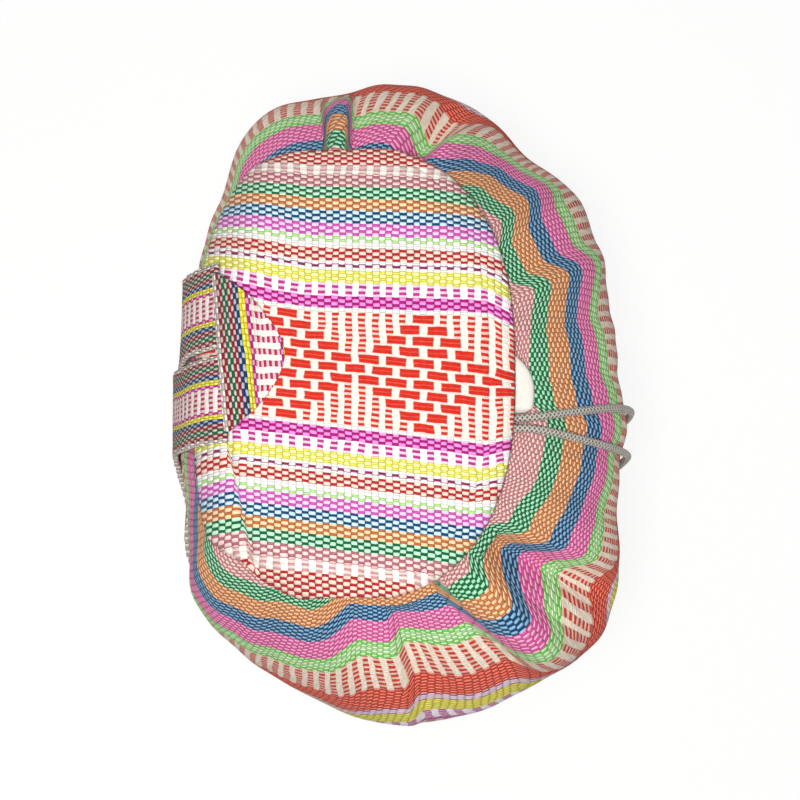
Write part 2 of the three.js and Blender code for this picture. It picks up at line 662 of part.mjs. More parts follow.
for (const [hand, route] of Object.entries({ left: LEFT_ROUTE, right: RIGHT_ROUTE })) {
  const points = route.map((place) => new THREE.Vector3(...place));
  const path = new THREE.CatmullRomCurve3(points, false, 'centripetal');
  addPiece(`${hand}_tail`, cordGeometry(path, TAIL_STEPS), braidedCord);
  addPiece(`${hand}_knot`, knotGeometry(points[points.length - 1]), braidedCord);
}

export default bag;
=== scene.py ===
"""A woven drawstring backpack, full and standing on its base, seen from above.

Sizes are in millimetres in the frame of the part: +Z up, front -Y, straps at the back (+Y).
Meshes are written in metres.
"""

import bmesh
import bpy
import numpy as np
from mathutils import Matrix


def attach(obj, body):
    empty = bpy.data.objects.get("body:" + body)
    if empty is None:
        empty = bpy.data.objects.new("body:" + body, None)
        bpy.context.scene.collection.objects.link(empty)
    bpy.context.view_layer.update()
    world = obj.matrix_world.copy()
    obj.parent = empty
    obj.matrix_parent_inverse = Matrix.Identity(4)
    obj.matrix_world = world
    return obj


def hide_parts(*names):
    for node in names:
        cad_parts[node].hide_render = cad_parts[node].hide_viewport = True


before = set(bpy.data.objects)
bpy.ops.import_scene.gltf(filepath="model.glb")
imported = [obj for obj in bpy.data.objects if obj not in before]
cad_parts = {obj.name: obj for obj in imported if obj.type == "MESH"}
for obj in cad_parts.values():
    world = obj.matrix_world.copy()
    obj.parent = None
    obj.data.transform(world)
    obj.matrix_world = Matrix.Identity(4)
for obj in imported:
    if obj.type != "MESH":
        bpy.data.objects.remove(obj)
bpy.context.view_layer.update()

# Body cloth
# One tube of hand-woven cotton, striped round the bag, its upper hem turned under as a casing.
# The drawstring in the casing pulls the cloth into pleats and creases over the full shoulder.
CLOTH = 2.2
BASE = (250.0, 160.0, 2.8)
BELLY = (316.0, 214.0, 2.45)
MOUTH = (176.0, 124.0, 2.2)
BASE_CORNER = 14.0
MOUTH_HEIGHT = 290.0
MOUTH_SETBACK = 15.0
MOUTH_SIDE_SHIFT = -8.0
SHOULDER_DROP = (46.0, 66.0)
SHOULDER_CLOTH = (76.0, 104.0)
SHOULDER_ROUNDNESS = 1.6
TUBE_HEIGHT = 316.0
HEM_DEPTH = 14.0
HEM_DROP = 9.6
TURN_RADIUS = HEM_DROP / 2
RIPPLE_HEIGHT = 0.45
LUMP_HEIGHT = 0.9
# Broad swellings: middle and half widths in degrees, shift outwards, start and end down the cloth.
SWELLINGS = [
    (2, 14, 12, 6.5, -10, 180),
    (27, 22, 18, 12, -20, 200),
    (74, 18, 14, -3, -10, 200),
    (136, 18, 18, 12.5, -40, 108),
    (164, 20, 20, -5.5, 0, 220),
    (200, 18, 14, -3, 0, 220),
    (222, 20, 20, 10.5, 10, 190),
    (246, 18, 18, -3, 10, 190),
    (278, 18, 16, -4, -10, 200),
    (298, 12, 10, -4.5, -10, 200),
    (313, 16, 14, -3.5, -10, 200),
    (333, 16, 19, -13, -10, 160),
]
# Gathers: middle, lean in degrees for 100 mm, half widths, out, up, start, end, quickness and
# power across, which is under 1 for a pleat that stands up as a tube.
GATHERS = [
    (10.5, 0, 2.7, 2.7, 5, 5, 14, 74, 1.0, 0.8),
    (0.6, -17, 7, 4.5, -9.5, -8, 14, 92, 0.6, 2),
    (184, 0, 3, 14, -7, -2, 14, 135, 0.6, 2),
    (204, 9, 5.5, 6, 10, 9, 10, 86, 1.0, 0.8),
    (213.9, 14, 6, 9, -12, -10, 12, 95, 0.6, 2),
    (290, 0, 9, 9, -3, -1, 14, 90, 1.0, 2),
    (272, 0, 30, 26, 7, -8, -14, 14, 1.0, 2),
]
# Cloth drawn out of the mouth by the gathers, or into it: middle, lean, half widths, share of
# each that is its edge at the top of the wall, length, start and end. Lower down edges are soft.
PULLS = [
    (10.5, 5.5, 2.9, 2.9, 0.35, 0.35, 21, -90, 90),
    (353.4, 8, 15, 21, 0.5, 0.4, -8, -150, 250),
    (325, 0, 40, 26, 0.56, 0.56, 9, -150, 250),
    (331, 0, 9, 12, 0.6, 0.6, 6, -40, 80),
    (315, 0, 12, 9, 0.6, 0.6, -9, -40, 90),
    (287, 0, 18, 16, 0.6, 0.6, -6, 30, 200),
    (135, 0, 30, 24, 0.56, 0.56, 12, -150, 250),
    (157, 0, 12, 9, 0.6, 0.6, 4, -150, 250),
    (184.3, 3.8, 22, 15, 0.55, 0.22, -19, -150, 250),
    (206, -1, 6, 6, 0.3, 0.3, -1, -100, 120),
    (215, 4, 9, 10, 0.6, 0.6, -7.5, -150, 250),
    (229.6, -4.3, 13, 18, 0.6, 0.6, -3, 20, 250),
    (250, 0, 22, 16, 0.56, 0.56, 6, -60, 70),
]


def smooth_rise(value, low, high):
    """0 below low, 1 above high, 3t^2 - 2t^3 between."""
    share = np.clip((value - low) / (high - low), 0, 1)
    return share * share * (3 - 2 * share)


def oval(angle, width, depth, squareness):
    """Radius of the superellipse |2x/width|^n + |2y/depth|^n = 1."""
    across = np.abs(np.cos(angle)) / (width / 2)
    along = np.abs(np.sin(angle)) / (depth / 2)
    return (across**squareness + along**squareness) ** (-1 / squareness)


def degrees_from(angle, at):
    """Degrees round the bag from a place, between -180 and 180."""
    return (np.degrees(angle) - at + 180) % 360 - 180


def fold_strength(angle, cloth, at, lean, before, after, start, end, quick, power):
    """cos^power across the fold, sin(pi run^quick) down the cloth."""
    away = degrees_from(angle, at + lean * cloth / 100)
    share = np.clip(away / np.where(away < 0, before, after), -1, 1)
    run = np.clip((cloth - start) / (end - start), 0, 1)
    return np.abs(np.cos(share * np.pi / 2)) ** power * np.sin(run**quick * np.pi)


def shoulder_length(angle):
    """Cloth from the mouth to the belly, longer at the sides by the cosine squared."""
    middle, side = SHOULDER_CLOTH
    return middle + (side - middle) * np.cos(angle) ** 2


def smooth_body(angle, cloth):
    """Middle of the cloth without gathers: a superellipse quarter from mouth to belly, then a
    cosine taper from belly to base, each ring an oval."""
    angle, cloth = np.broadcast_arrays(np.asarray(angle, float), np.asarray(cloth, float))
    length = shoulder_length(angle)
    drop = SHOULDER_DROP[0] + (SHOULDER_DROP[1] - SHOULDER_DROP[0]) * np.cos(angle) ** 2
    turn = np.pi / 2 * np.clip(cloth / length, 0, 1)
    outward = np.sin(turn) ** (2 / SHOULDER_ROUNDNESS)
    height = np.cos(turn) ** (2 / SHOULDER_ROUNDNESS)
    down = np.clip((cloth - length) / (TUBE_HEIGHT - length), 0, 1)
    mouth, belly, base = oval(angle, *MOUTH), oval(angle, *BELLY), oval(angle, *BASE)
    radius = mouth + (belly - mouth) * outward - (belly - base) * (1 - np.cos(down * np.pi / 2))
    for at, before, after, out, start, end in SWELLINGS:
        radius = radius + out * fold_strength(angle, cloth, at, 0, before, after, start, end, 1, 2)
    belly_height = MOUTH_HEIGHT - drop
    x = radius * np.cos(angle) + MOUTH_SIDE_SHIFT * (1 - outward)
    y = radius * np.sin(angle) + MOUTH_SETBACK * (1 - outward)
    z = belly_height + drop * height - (belly_height - BASE_CORNER) * down
    return np.stack([x, y, z], -1)


def gathered_body(angle, cloth):
    """Smooth body plus each gather's shift outwards and upwards."""
    point = smooth_body(angle, cloth)
    angle, cloth = np.broadcast_arrays(angle, cloth)
    for at, lean, before, after, out, up, start, end, quick, power in GATHERS:
        strength = fold_strength(angle, cloth, at, lean, before, after, start, end, quick, power)
        shift = [out * np.cos(angle), out * np.sin(angle), np.full_like(angle, up)]
        point = point + np.stack(shift, -1) * strength[..., None]
    return point


def unit(vectors):
    """Vectors divided by their lengths."""
    return vectors / np.linalg.norm(vectors, axis=-1, keepdims=True)


ANGLE_STEP = 0.01
CLOTH_STEP = 0.6


def cloth_facing(surface, angle, cloth):
    """Outward normal: the step down the cloth crossed with the step round the bag."""
    above = np.maximum(cloth - CLOTH_STEP, 0)
    round_step = surface(angle + ANGLE_STEP, cloth) - surface(angle - ANGLE_STEP, cloth)
    down_step = surface(angle, cloth + CLOTH_STEP) - surface(angle, above)
    return unit(np.cross(down_step, round_step))


def body_surface(angle, cloth):
    """Gathered body with shallow ripples, sums of sines round the bag that fade down the cloth,
    and broad lumps below them, a product of two sines."""
    point = gathered_body(angle, cloth)
    angle, cloth = np.broadcast_arrays(angle, cloth)
    fade = smooth_rise(cloth, 8, 24) * (1 - smooth_rise(cloth, 60, 150))
    bend = cloth / 40
    ripple = np.sin(23 * angle + 2.1 * np.sin(3 * angle + 1) + bend)
    ripple += 0.7 * np.sin(37 * angle + 1.6 * np.sin(5 * angle) - bend)
    lumps = np.sin(7 * angle + cloth / 23 + 0.6) * np.sin(4 * angle - cloth / 31)
    lift = RIPPLE_HEIGHT * fade * ripple + LUMP_HEIGHT * smooth_rise(cloth, 40, 90) * lumps
    facing = cloth_facing(gathered_body, angle, cloth)
    return point + facing * lift[..., None]


ONE_PLACE = 1e-6


def grid_mesh(name, points, weave, closed=False, poles=()):
    """Mesh of a grid of points (rows, columns, 3) in mm with a UV map "weave" in metres.
    A closed grid joins its last column to its first and keeps one more column of UVs. A row
    named in poles, from 0, has all its points in one place, and they become one point."""
    rows, columns = points.shape[:2]
    steps = columns if closed else columns - 1
    first, second = np.meshgrid(np.arange(rows - 1), np.arange(steps), indexing="ij")
    after = (second + 1) % columns
    corners = [first * columns + second, first * columns + after]
    corners += [(first + 1) * columns + after, (first + 1) * columns + second]
    faces = np.stack(corners, -1).reshape(-1, 4)
    wide = weave.shape[1]
    places = [first * wide + second, first * wide + second + 1]
    places += [(first + 1) * wide + second + 1, (first + 1) * wide + second]
    loops = np.stack(places, -1).reshape(-1)
    mesh = bpy.data.meshes.new(name)
    mesh.vertices.add(rows * columns)
    mesh.vertices.foreach_set("co", (points / 1000).astype(np.float32).ravel())
    mesh.loops.add(faces.size)
    mesh.loops.foreach_set("vertex_index", faces.astype(np.int32).ravel())
    mesh.polygons.add(len(faces))
    mesh.polygons.foreach_set("loop_start", np.arange(0, faces.size, 4, dtype=np.int32))
    mesh.polygons.foreach_set("use_smooth", np.ones(len(faces), dtype=bool))
    mesh.update(calc_edges=True)
    layer = mesh.uv_layers.new(name="weave")
    layer.data.foreach_set("uv", (weave.reshape(-1, 2)[loops] / 1000).astype(np.float32).ravel())
    mesh.validate()
    if poles:
        work = bmesh.new()
        work.from_mesh(mesh)
        work.verts.ensure_lookup_table()
        rings = sum((work.verts[row * columns : (row + 1) * columns] for row in poles), [])
        bmesh.ops.remove_doubles(work, verts=rings, dist=ONE_PLACE)
        work.to_mesh(mesh)
        work.free()
    piece = bpy.data.objects.new(name, mesh)
    bpy.context.scene.collection.objects.link(piece)
    return piece


def thicken(piece, thickness):
    """Gives a sheet its cloth thickness, half to each side."""
    wall = piece.modifiers.new("cloth thickness", "SOLIDIFY")
    wall.thickness = thickness / 1000
    wall.offset = 0


BODY_COLUMNS = 400
SEAM_ANGLE = np.pi / 2
PATTERN_DEPTH = 163.0
# Columns of faces from the seam round the bag, closer together at the narrow gathers.
CROWDED = (10.5, 355, 186, 206, 216)
CROWD_GAIN = 2.4
CROWD_WIDTH = 9.0
even = SEAM_ANGLE + np.linspace(0, 2 * np.pi, 2881)
crowd = np.ones_like(even)
for at in CROWDED:
    crowd += CROWD_GAIN * np.exp(-((degrees_from(even, at) / CROWD_WIDTH) ** 2))
reached = np.concatenate([[0], np.cumsum((crowd[1:] + crowd[:-1]) / 2)])
body_angle = np.interp(np.linspace(0, reached[-1], BODY_COLUMNS + 1), reached, even)
ring_angle = body_angle[:-1]
# Slanting gathers: middle, half width and lean of the columns in degrees for 100 mm.
LEANS = [(210, 45, 10), (355.5, 40, -8)]
LEAN_END = 110.0
# Rows of faces: in the turned hem, close together on the shoulder, wider apart down the wall.
HEM_ROWS = (HEM_DEPTH, 10.0, 5.0)
FINE_ROW = 2.0
FINE_END = 130.0
WALL_ROW = 6.0


def leaning(angle, cloth):
    """Angle of a column of faces, which leans with the slanting gathers and then turns back."""
    below = np.clip(cloth, HEM_DEPTH, LEAN_END) - HEM_DEPTH
    back = 1 - smooth_rise(cloth, LEAN_END, TUBE_HEIGHT)
    shift = 0
    for at, half, lean in LEANS:
        near = np.cos(np.clip(degrees_from(angle, at) / half, -1, 1) * np.pi / 2) ** 2
        shift = shift + np.radians(lean * below * near * back / 100)
    return angle + shift


def body_rows(angle):
    """Rows of points down the body: the hem under the rim, the turn over the cord as a half
    circle, the cloth, then a quarter circle onto the floor."""
    rim = body_surface(angle, 0.0)
    up = cloth_facing(gathered_body, angle, np.zeros_like(angle))
    inward = rim - gathered_body(angle, 2.0)
    inward = unit(inward - up * np.sum(inward * up, -1, keepdims=True))
    rows, down = [], []
    for depth in HEM_ROWS:
        rows.append(body_surface(angle, depth) - up * HEM_DROP)
        down.append(-depth - np.pi * TURN_RADIUS)
    for bend in np.linspace(np.pi, 0, 9):
        turned = up * (np.cos(bend) - 1) + inward * np.sin(bend)
        rows.append(rim + turned * TURN_RADIUS)
        down.append(-bend * TURN_RADIUS)
    shoulder = np.arange(FINE_ROW, FINE_END, FINE_ROW)
    wall = np.arange(FINE_END, TUBE_HEIGHT + 1, WALL_ROW)
    for cloth in np.concatenate([shoulder, wall]):
        leant = leaning(angle, cloth)
        rows.append(body_surface(leant, np.full_like(leant, cloth)))
        down.append(cloth)
    foot = body_surface(angle, np.full_like(angle, TUBE_HEIGHT))
    out = np.stack([np.cos(angle), np.sin(angle), np.zeros_like(angle)], -1)
    bend_radius = BASE_CORNER - CLOTH / 2
    for bend in np.linspace(0, np.pi / 2, 6)[1:]:
        row = foot - out * bend_radius * (1 - np.cos(bend))
        row[:, 2] = BASE_CORNER - bend_radius * np.sin(bend)
        rows.append(row)
        down.append(TUBE_HEIGHT + bend_radius * bend)
    return np.stack(rows), np.array(down)


def path_length(path):
    """Length along a path at each of its points."""
    return np.concatenate([[0], np.cumsum(np.linalg.norm(np.diff(path, axis=0), axis=-1))])


def weave_places(along, across):
    """UVs of a grid in mm: two arrays of lengths, spread over its rows and columns."""
    return np.stack(np.broadcast_arrays(along, across), -1)


BELLY_DOWN = 100.0
SOFT_EDGE = 0.7
EDGE_SOFTENS = (52, 105)
belly_ring = smooth_body(body_angle, np.full_like(body_angle, BELLY_DOWN))
belly_length = path_length(belly_ring)
body_points, body_down = body_rows(ring_angle)
body_weave = weave_places(belly_length[None, :], body_down[:, None] - PATTERN_DEPTH)
for at, lean, before, after, edge_before, edge_after, length, start, end in PULLS:
    away = degrees_from(body_angle[None, :], at + lean * body_down[:, None] / 100)
    inside = 1 - np.abs(away) / np.where(away < 0, before, after)
    run = np.clip((body_down - start) / (end - start), 0, 1)
    edge = np.where(away < 0, edge_before, edge_after)
    edge = edge + (SOFT_EDGE - edge) * smooth_rise(body_down, *EDGE_SOFTENS)[:, None]
    pull = smooth_rise(inside, 0, edge)
    body_weave[:, :, 1] -= length * pull * smooth_rise(np.sin(run * np.pi), 0, 0.6)[:, None]
body = grid_mesh("body_cloth", body_points, body_weave, closed=True)
thicken(body, CLOTH)


def linear(code):
    """An sRGB hex colour as linear red, green, blue and alpha."""
    parts = np.array([int(code[i : i + 2], 16) for i in (1, 3, 5)]) / 255
    parts = np.where(parts <= 0.04045, parts / 12.92, ((parts + 0.055) / 1.055) ** 2.4)
    return (*parts, 1.0)


def add(tree, kind, *inputs, **settings):
    """Adds a node: settings are its properties, inputs fill its sockets in order. A node or a
    socket is linked, a value is set, None is skipped."""
    made = tree.nodes.new("ShaderNode" + kind)
    for key, value in settings.items():
        setattr(made, key, value)
    for socket, given in zip(made.inputs, inputs):
        if isinstance(given, bpy.types.Node):
            given = given.outputs[0]
        if isinstance(given, bpy.types.NodeSocket):
            tree.links.new(socket, given)
        elif given is not None:
            socket.default_value = given
    return made


def new_material(name):
    """An empty material and its node tree."""
    material = bpy.data.materials.new(name)
    material.use_nodes = True
    material.node_tree.nodes.clear()
    return material, material.node_tree


def spun_surface(tree, colour, height, relief, depth, roughness, gloss, sheen):
    """Ends a material of spun yarn: the height of its threads bends the light as a relief of a
    depth in metres, over a matt surface of the colour given."""
    bump = add(tree, "Bump", relief, depth)
    tree.links.new(bump.inputs["Height"], height.outputs[0])
    surface = add(tree, "BsdfPrincipled", colour)
    surface.inputs["Roughness"].default_value = roughness
    surface.inputs["Specular IOR Level"].default_value = gloss
    surface.inputs["Sheen Weight"].default_value = sheen
    tree.links.new(surface.inputs["Normal"], bump.outputs[0])
    output = add(tree, "OutputMaterial", surface)
    output.is_active_output = True


def banded(ramp, edges, colours):
    """Fills a colour ramp with bands of flat colour that start at the given places."""
    ramp.color_ramp.interpolation = "CONSTANT"
    elements = ramp.color_ramp.elements
    elements.remove(elements[1])
    for number, (edge, colour) in enumerate(zip(edges, colours)):
        element = elements[0] if number == 0 else elements.new(float(edge))
        element.position = float(edge)
        element.color = colour
    return ramp


# Threads of the handweave: the weft that shows as dark dashes, and the paler pillows between them.
DUSTY = ("#C07C7E", "#FACCC6")
GREEN = ("#046334", "#A0DEB6")
ORANGE = ("#C2763F", "#FABF92")
# The body's blue is darker than the lid's SKY: partly its own tone, partly painted shade of the
# body's front, which slopes away from the light.
BLUE = ("#0A3A62", "#80B0D2")
PINK = ("#DA5098", "#FFA4CC")
LIME = ("#74C85C", "#BCEEA0")
PALE_LIME = ("#A4DA8C", "#D6F2C2")
RED = ("#CE2612", "#FF886E")
LADDER_RED = ("#CE3420", "#F2E0CC")
SCARLET = ("#D22816", "#F8E8DA")
CREAM = ("#EFE6DA", "#FFFBF4")
PLUM = ("#8E2458", "#F0D8E0")
LILAC = ("#C890B8", "#EED2E6")
YELLOW = ("#E4D428", "#F6F07A")
MAGENTA = ("#B40676", "#F68CD6")
FUCHSIA = ("#BC3084", "#FFF2FA")
# Ways of weaving a stripe, each kept in one channel of a colour.
KINDS = {
    "check": (0, 0, 0, 1),
    "ladder": (1, 0, 0, 1),
    "brocade": (0, 1, 0, 1),
    "plain": (0, 0, 1, 1),
}
# Noises in a metre: threads wander every 9 mm, by up to 1 mm along and half a millimetre across,
# the dye changes every 2.4 mm, and fibres are drawn 0.4 mm wide, coarser than real, to show.
WANDER = 110.0
WANDER_REACH = (0.002, 0.001, 0.0)
DYE = 420.0
FIBRE = 2600.0
DIAMOND_FLOATS = 5


def handweave(name, stripes, row, repeat, slant, swell, brick):
    """Handwoven cotton, striped alike to both sides of the line across = 0. stripes lists (rows,
    thread and ground, kind) from that line outwards; row is the pitch of the weft, repeat the
    length of one dash and one gap and brick the pitch of the brocade's rows, in mm; slant leans
    the dashes. A check's dashes stand where w s + swell |w| is under a tenth, w being
    cos(2 pi along / repeat) and s sin(pi across / row), so that the pillows between them are
    lenses; a ladder's stand in columns, two for each brocade row."""
    material, tree = new_material(name)
    edges = np.concatenate([[0], np.cumsum([rows * row for rows, _, _ in stripes])])
    total = edges[-1]
    uv = add(tree, "UVMap", uv_map="weave")
    wander = add(tree, "TexNoise", uv, None, WANDER, 2.0, noise_dimensions="2D")
    middle = (0.5, 0.5, 0.5)
    wander = add(tree, "VectorMath", wander.outputs["Color"], middle, operation="SUBTRACT")
    wander = add(tree, "VectorMath", wander, WANDER_REACH, operation="MULTIPLY")
    place = add(tree, "SeparateXYZ", add(tree, "VectorMath", uv, wander, operation="ADD"))
    along = add(tree, "Math", place.outputs[0], 1000.0, operation="MULTIPLY")
    across = add(tree, "Math", place.outputs[1], 1000.0, operation="MULTIPLY")
    apart = add(tree, "Math", across, operation="ABSOLUTE")
    share = add(tree, "Math", apart, total, operation="DIVIDE")
    starts = edges[:-1] / total
    threads = [linear(pair[0]) for _, pair, _ in stripes]
    grounds = [linear(pair[1]) for _, pair, _ in stripes]
    kinds = [KINDS[word] for _, _, word in stripes]
    thread, ground, kind = (
        banded(add(tree, "ValToRGB", share), starts, colours)
        for colours in (threads, grounds, kinds)
    )
    kind = add(tree, "SeparateColor", kind)

    leant = add(tree, "Math", across, slant, operation="MULTIPLY")
    leant = add(tree, "Math", leant, along, operation="ADD")
    leant = add(tree, "Math", leant, 2 * np.pi / repeat, operation="MULTIPLY")
    wave = add(tree, "Math", leant, operation="COSINE")
    rows = add(tree, "Math", apart, np.pi / row, operation="MULTIPLY")
    rows = add(tree, "Math", rows, operation="SINE")
    check = add(tree, "Math", wave, rows, operation="MULTIPLY")
    fuller = add(tree, "Math", wave, operation="ABSOLUTE")
    fuller = add(tree, "Math", fuller, swell, operation="MULTIPLY")
    fuller = add(tree, "Math", check, fuller, operation="ADD")
    dash = add(tree, "MapRange", fuller, 0.26, -0.06, 0.0, 1.0, interpolation_type="SMOOTHSTEP")

    # Columns of short dashes, with a warmer ground between the dashes of one column.
    column = add(tree, "Math", along, 2 * np.pi / repeat, operation="MULTIPLY")
    column = add(tree, "Math", column, operation="COSINE")
    column = add(tree, "MapRange", column, 0.12, -0.12, 0.0, 1.0, interpolation_type="SMOOTHSTEP")
    short = add(tree, "Math", across, 4 * np.pi / brick, operation="MULTIPLY")
    short = add(tree, "Math", short, operation="COSINE")
    short = add(tree, "MapRange", short, 0.2, -0.12, 0.32, 1.0, interpolation_type="SMOOTHSTEP")
    ladder = add(tree, "Math", column, short, operation="MULTIPLY")

    # Brocade: floats in brick bond inside diamonds that touch, such columns between the diamonds.
    level = add(tree, "Math", across, brick, operation="DIVIDE")
    level = add(tree, "Math", level, 0.5, operation="ADD")
    count = add(tree, "Math", level, operation="FLOOR")
    rise = add(tree, "Math", add(tree, "Math", level, operation="FRACT"), -0.5, operation="ADD")
    rise = add(tree, "Math", rise, operation="ABSOLUTE")
    odd = add(tree, "Math", count, 2.0, operation="FLOORED_MODULO")
    odd = add(tree, "Math", odd, 0.5, operation="MULTIPLY")
    bond = add(tree, "Math", along, 2 * repeat, operation="DIVIDE")
    bond = add(tree, "Math", bond, odd, operation="ADD")
    reach = add(tree, "Math", add(tree, "Math", bond, operation="FRACT"), -0.5, operation="ADD")
    reach = add(tree, "Math", reach, operation="ABSOLUTE")
    wide = add(tree, "MapRange", reach, 0.39, 0.34, 0.0, 1.0, interpolation_type="SMOOTHSTEP")
    tall = add(tree, "MapRange", rise, 0.42, 0.34, 0.14, 1.0, interpolation_type="SMOOTHSTEP")
    split = add(tree, "MapRange", rise, 0.01, 0.08, 0.92, 1.0)
    floats = add(tree, "Math", wide, tall, operation="MULTIPLY")
    floats = add(tree, "Math", floats, split, operation="MULTIPLY")
    stair = add(tree, "Math", add(tree, "Math", bond, operation="FLOOR"), odd, operation="SUBTRACT")
    stair = add(tree, "Math", stair, 0.5, operation="ADD")
    stair = add(tree, "Math", stair, 1 / DIAMOND_FLOATS, operation="MULTIPLY")
    stair = add(tree, "Math", add(tree, "Math", stair, operation="FRACT"), -0.5, operation="ADD")
    stair = add(tree, "Math", stair, operation="ABSOLUTE")
    stair = add(tree, "Math", stair, 2.0 * DIAMOND_FLOATS, operation="MULTIPLY")
    tier = add(tree, "Math", count, operation="ABSOLUTE")
    tier = add(tree, "Math", tier, stair, operation="SUBTRACT")
    inside = add(tree, "Math", tier, 1.0, operation="LESS_THAN")
    figure = add(tree, "MixRGB", inside, ladder, floats)

    mixed = add(tree, "MixRGB", kind.outputs[0], dash, ladder)
    mixed = add(tree, "MixRGB", kind.outputs[1], mixed, figure)
    mixed = add(tree, "MixRGB", kind.outputs[2], mixed, (0, 0, 0, 1))
    colour = add(tree, "MixRGB", mixed, ground, thread)

    # Each pillow of a check is rounded in its bump. Its colour carries painted shade in the gaps
    # between the threads and a painted highlight on the crowns, from 0.66 up to 1.2 times; ladders
    # and brocade are never painted darker than about 1 times.
    crown = add(tree, "Math", fuller, operation="ABSOLUTE")
    crown = add(tree, "Math", crown, 0.5, operation="POWER")
    figured = add(tree, "Math", kind.outputs[0], kind.outputs[1], operation="ADD")
    level_cloth = add(tree, "Math", figured, 0.55, operation="MULTIPLY")
    crown = add(tree, "Math", crown, level_cloth, operation="MAXIMUM")
    # Painted shade and highlight: the colour is multiplied by 0.66 in the gaps, up to 1.2 on the
    # crowns.
    painted_shade_and_highlight = add(tree, "MapRange", crown, 0.1, 0.8, 0.66, 1.2)
    colour = add(tree, "MixRGB", 1.0, colour, painted_shade_and_highlight, blend_type="MULTIPLY")
    dye = add(tree, "TexNoise", uv, None, DYE, 2.0, noise_dimensions="2D")
    dye = add(tree, "MapRange", dye, 0.3, 0.7, 0.92, 1.05)
    colour = add(tree, "MixRGB", 1.0, colour, dye, blend_type="MULTIPLY")

    fibre = add(tree, "TexNoise", uv, None, FIBRE, 3.0, noise_dimensions="2D")
    fibre = add(tree, "Math", fibre, 0.25, operation="MULTIPLY")
    height = add(tree, "Math", crown, fibre, operation="ADD")
    raised = add(tree, "Math", mixed, figured, operation="MULTIPLY")
    height = add(tree, "Math", height, raised, operation="ADD")
    spun_surface(tree, colour, height, 0.8, 0.0008, roughness=0.86, gloss=0.22, sheen=0.1)
    return material


# Stripes from the brocaded band in the middle of the tube outwards, to the rim and to the base.
BODY_STRIPES = [
    (32, SCARLET, "brocade"),
    (8, MAGENTA, "check"),
    (12, FUCHSIA, "ladder"),
    (10, YELLOW, "check"),
    (1, PLUM, "check"),
    (3, LILAC, "plain"),
    (1, PLUM, "check"),
    (14, RED, "check"),
    (17, LADDER_RED, "ladder"),
    (2, LIME, "check"),
    (4, PALE_LIME, "check"),
    (2, LIME, "check"),
    (10, PINK, "check"),
    (8, BLUE, "check"),
    (9, ORANGE, "check"),
    (8, GREEN, "check"),
    (43, DUSTY, "check"),
]
BODY_ROW = 1.05
BODY_REPEAT = 6.4
BODY_BRICK = 5.0
striped_cotton = handweave(
    "striped handwoven cotton",
    BODY_STRIPES,
    BODY_ROW,
    BODY_REPEAT,
    slant=0.3,
    swell=0.2,
    brick=BODY_BRICK,
)
body.data.materials.append(striped_cotton)
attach(body, "root")
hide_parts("body")

# Base panel
# The flat oval of the same cloth that closes the tube, sewn inside its lower edge on the floor.
SEWN_GAP = 0.35
BASE_SEAM = BASE_CORNER - CLOTH / 2 + SEWN_GAP


def base_ring(share):
    """Outline of the panel times a share, 0 at the middle and 1 at the seam."""
    foot = smooth_body(ring_angle, np.full_like(ring_angle, TUBE_HEIGHT))
    out = np.stack([np.cos(ring_angle), np.sin(ring_angle), np.zeros_like(ring_angle)], -1)
    ring = (foot - out * BASE_SEAM) * share
    ring[:, 2] = CLOTH / 2
    return ring


base_points = np.stack([base_ring(share) for share in np.linspace(0, 1, 14)])
base_weave = base_points[:, :, :2].copy()
base_weave = np.concatenate([base_weave, base_weave[:, :1]], axis=1)
base = grid_mesh(
    "base_panel_cloth", base_points[:, ::-1], base_weave[:, ::-1], closed=True, poles=(0,)
)
thicken(base, CLOTH)
base.data.materials.append(striped_cotton)
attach(base, "root")
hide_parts("base_panel")

# Lining
# A plain white cotton bag sewn under the casing. At the front of the mouth its edge swells up as
# a smooth lip in the gap between the lid and the rim.
LINING_CLOTH = 1.2
LINING_GAP = 1.8
LINING_DEPTH = (CLOTH + LINING_CLOTH) / 2 + LINING_GAP
LINING_SLACK = 20.0
LINING_SEAM = 2.0
LINING_ROW = 6.0
LIP_HEIGHT = 24.5
LIP_ANGLE = 273.0
LIP_HALF_ANGLES = (16.5, 21.0)
LIP_PLATEAUS = (0.5, 0.6)
# The lip from its free edge to the seam: the step inwards inside the casing and where it curls
# out over the rim, and the share of the height that it rises.
LIP_RUN = (0, 0.15, 0.3, 0.5, 0.7, 0.85, 1)
LIP_INSIDE = (9.5, 10.2, 11.2, 13, 13.2, 12, 0)
LIP_OVER = (-6, -4.2, -0.5, 6, 10.5, 12, 0)
LIP_RAISED = (0.93, 0.985, 1, 0.93, 0.62, 0.22, 0)
LIP_FLAT = 7.2
# Towards the right tail of the cord the edge is drawn in, by so much at so many degrees.
LIP_DRAWN = 8.0
LIP_DRAWN_ANGLE = 16.0


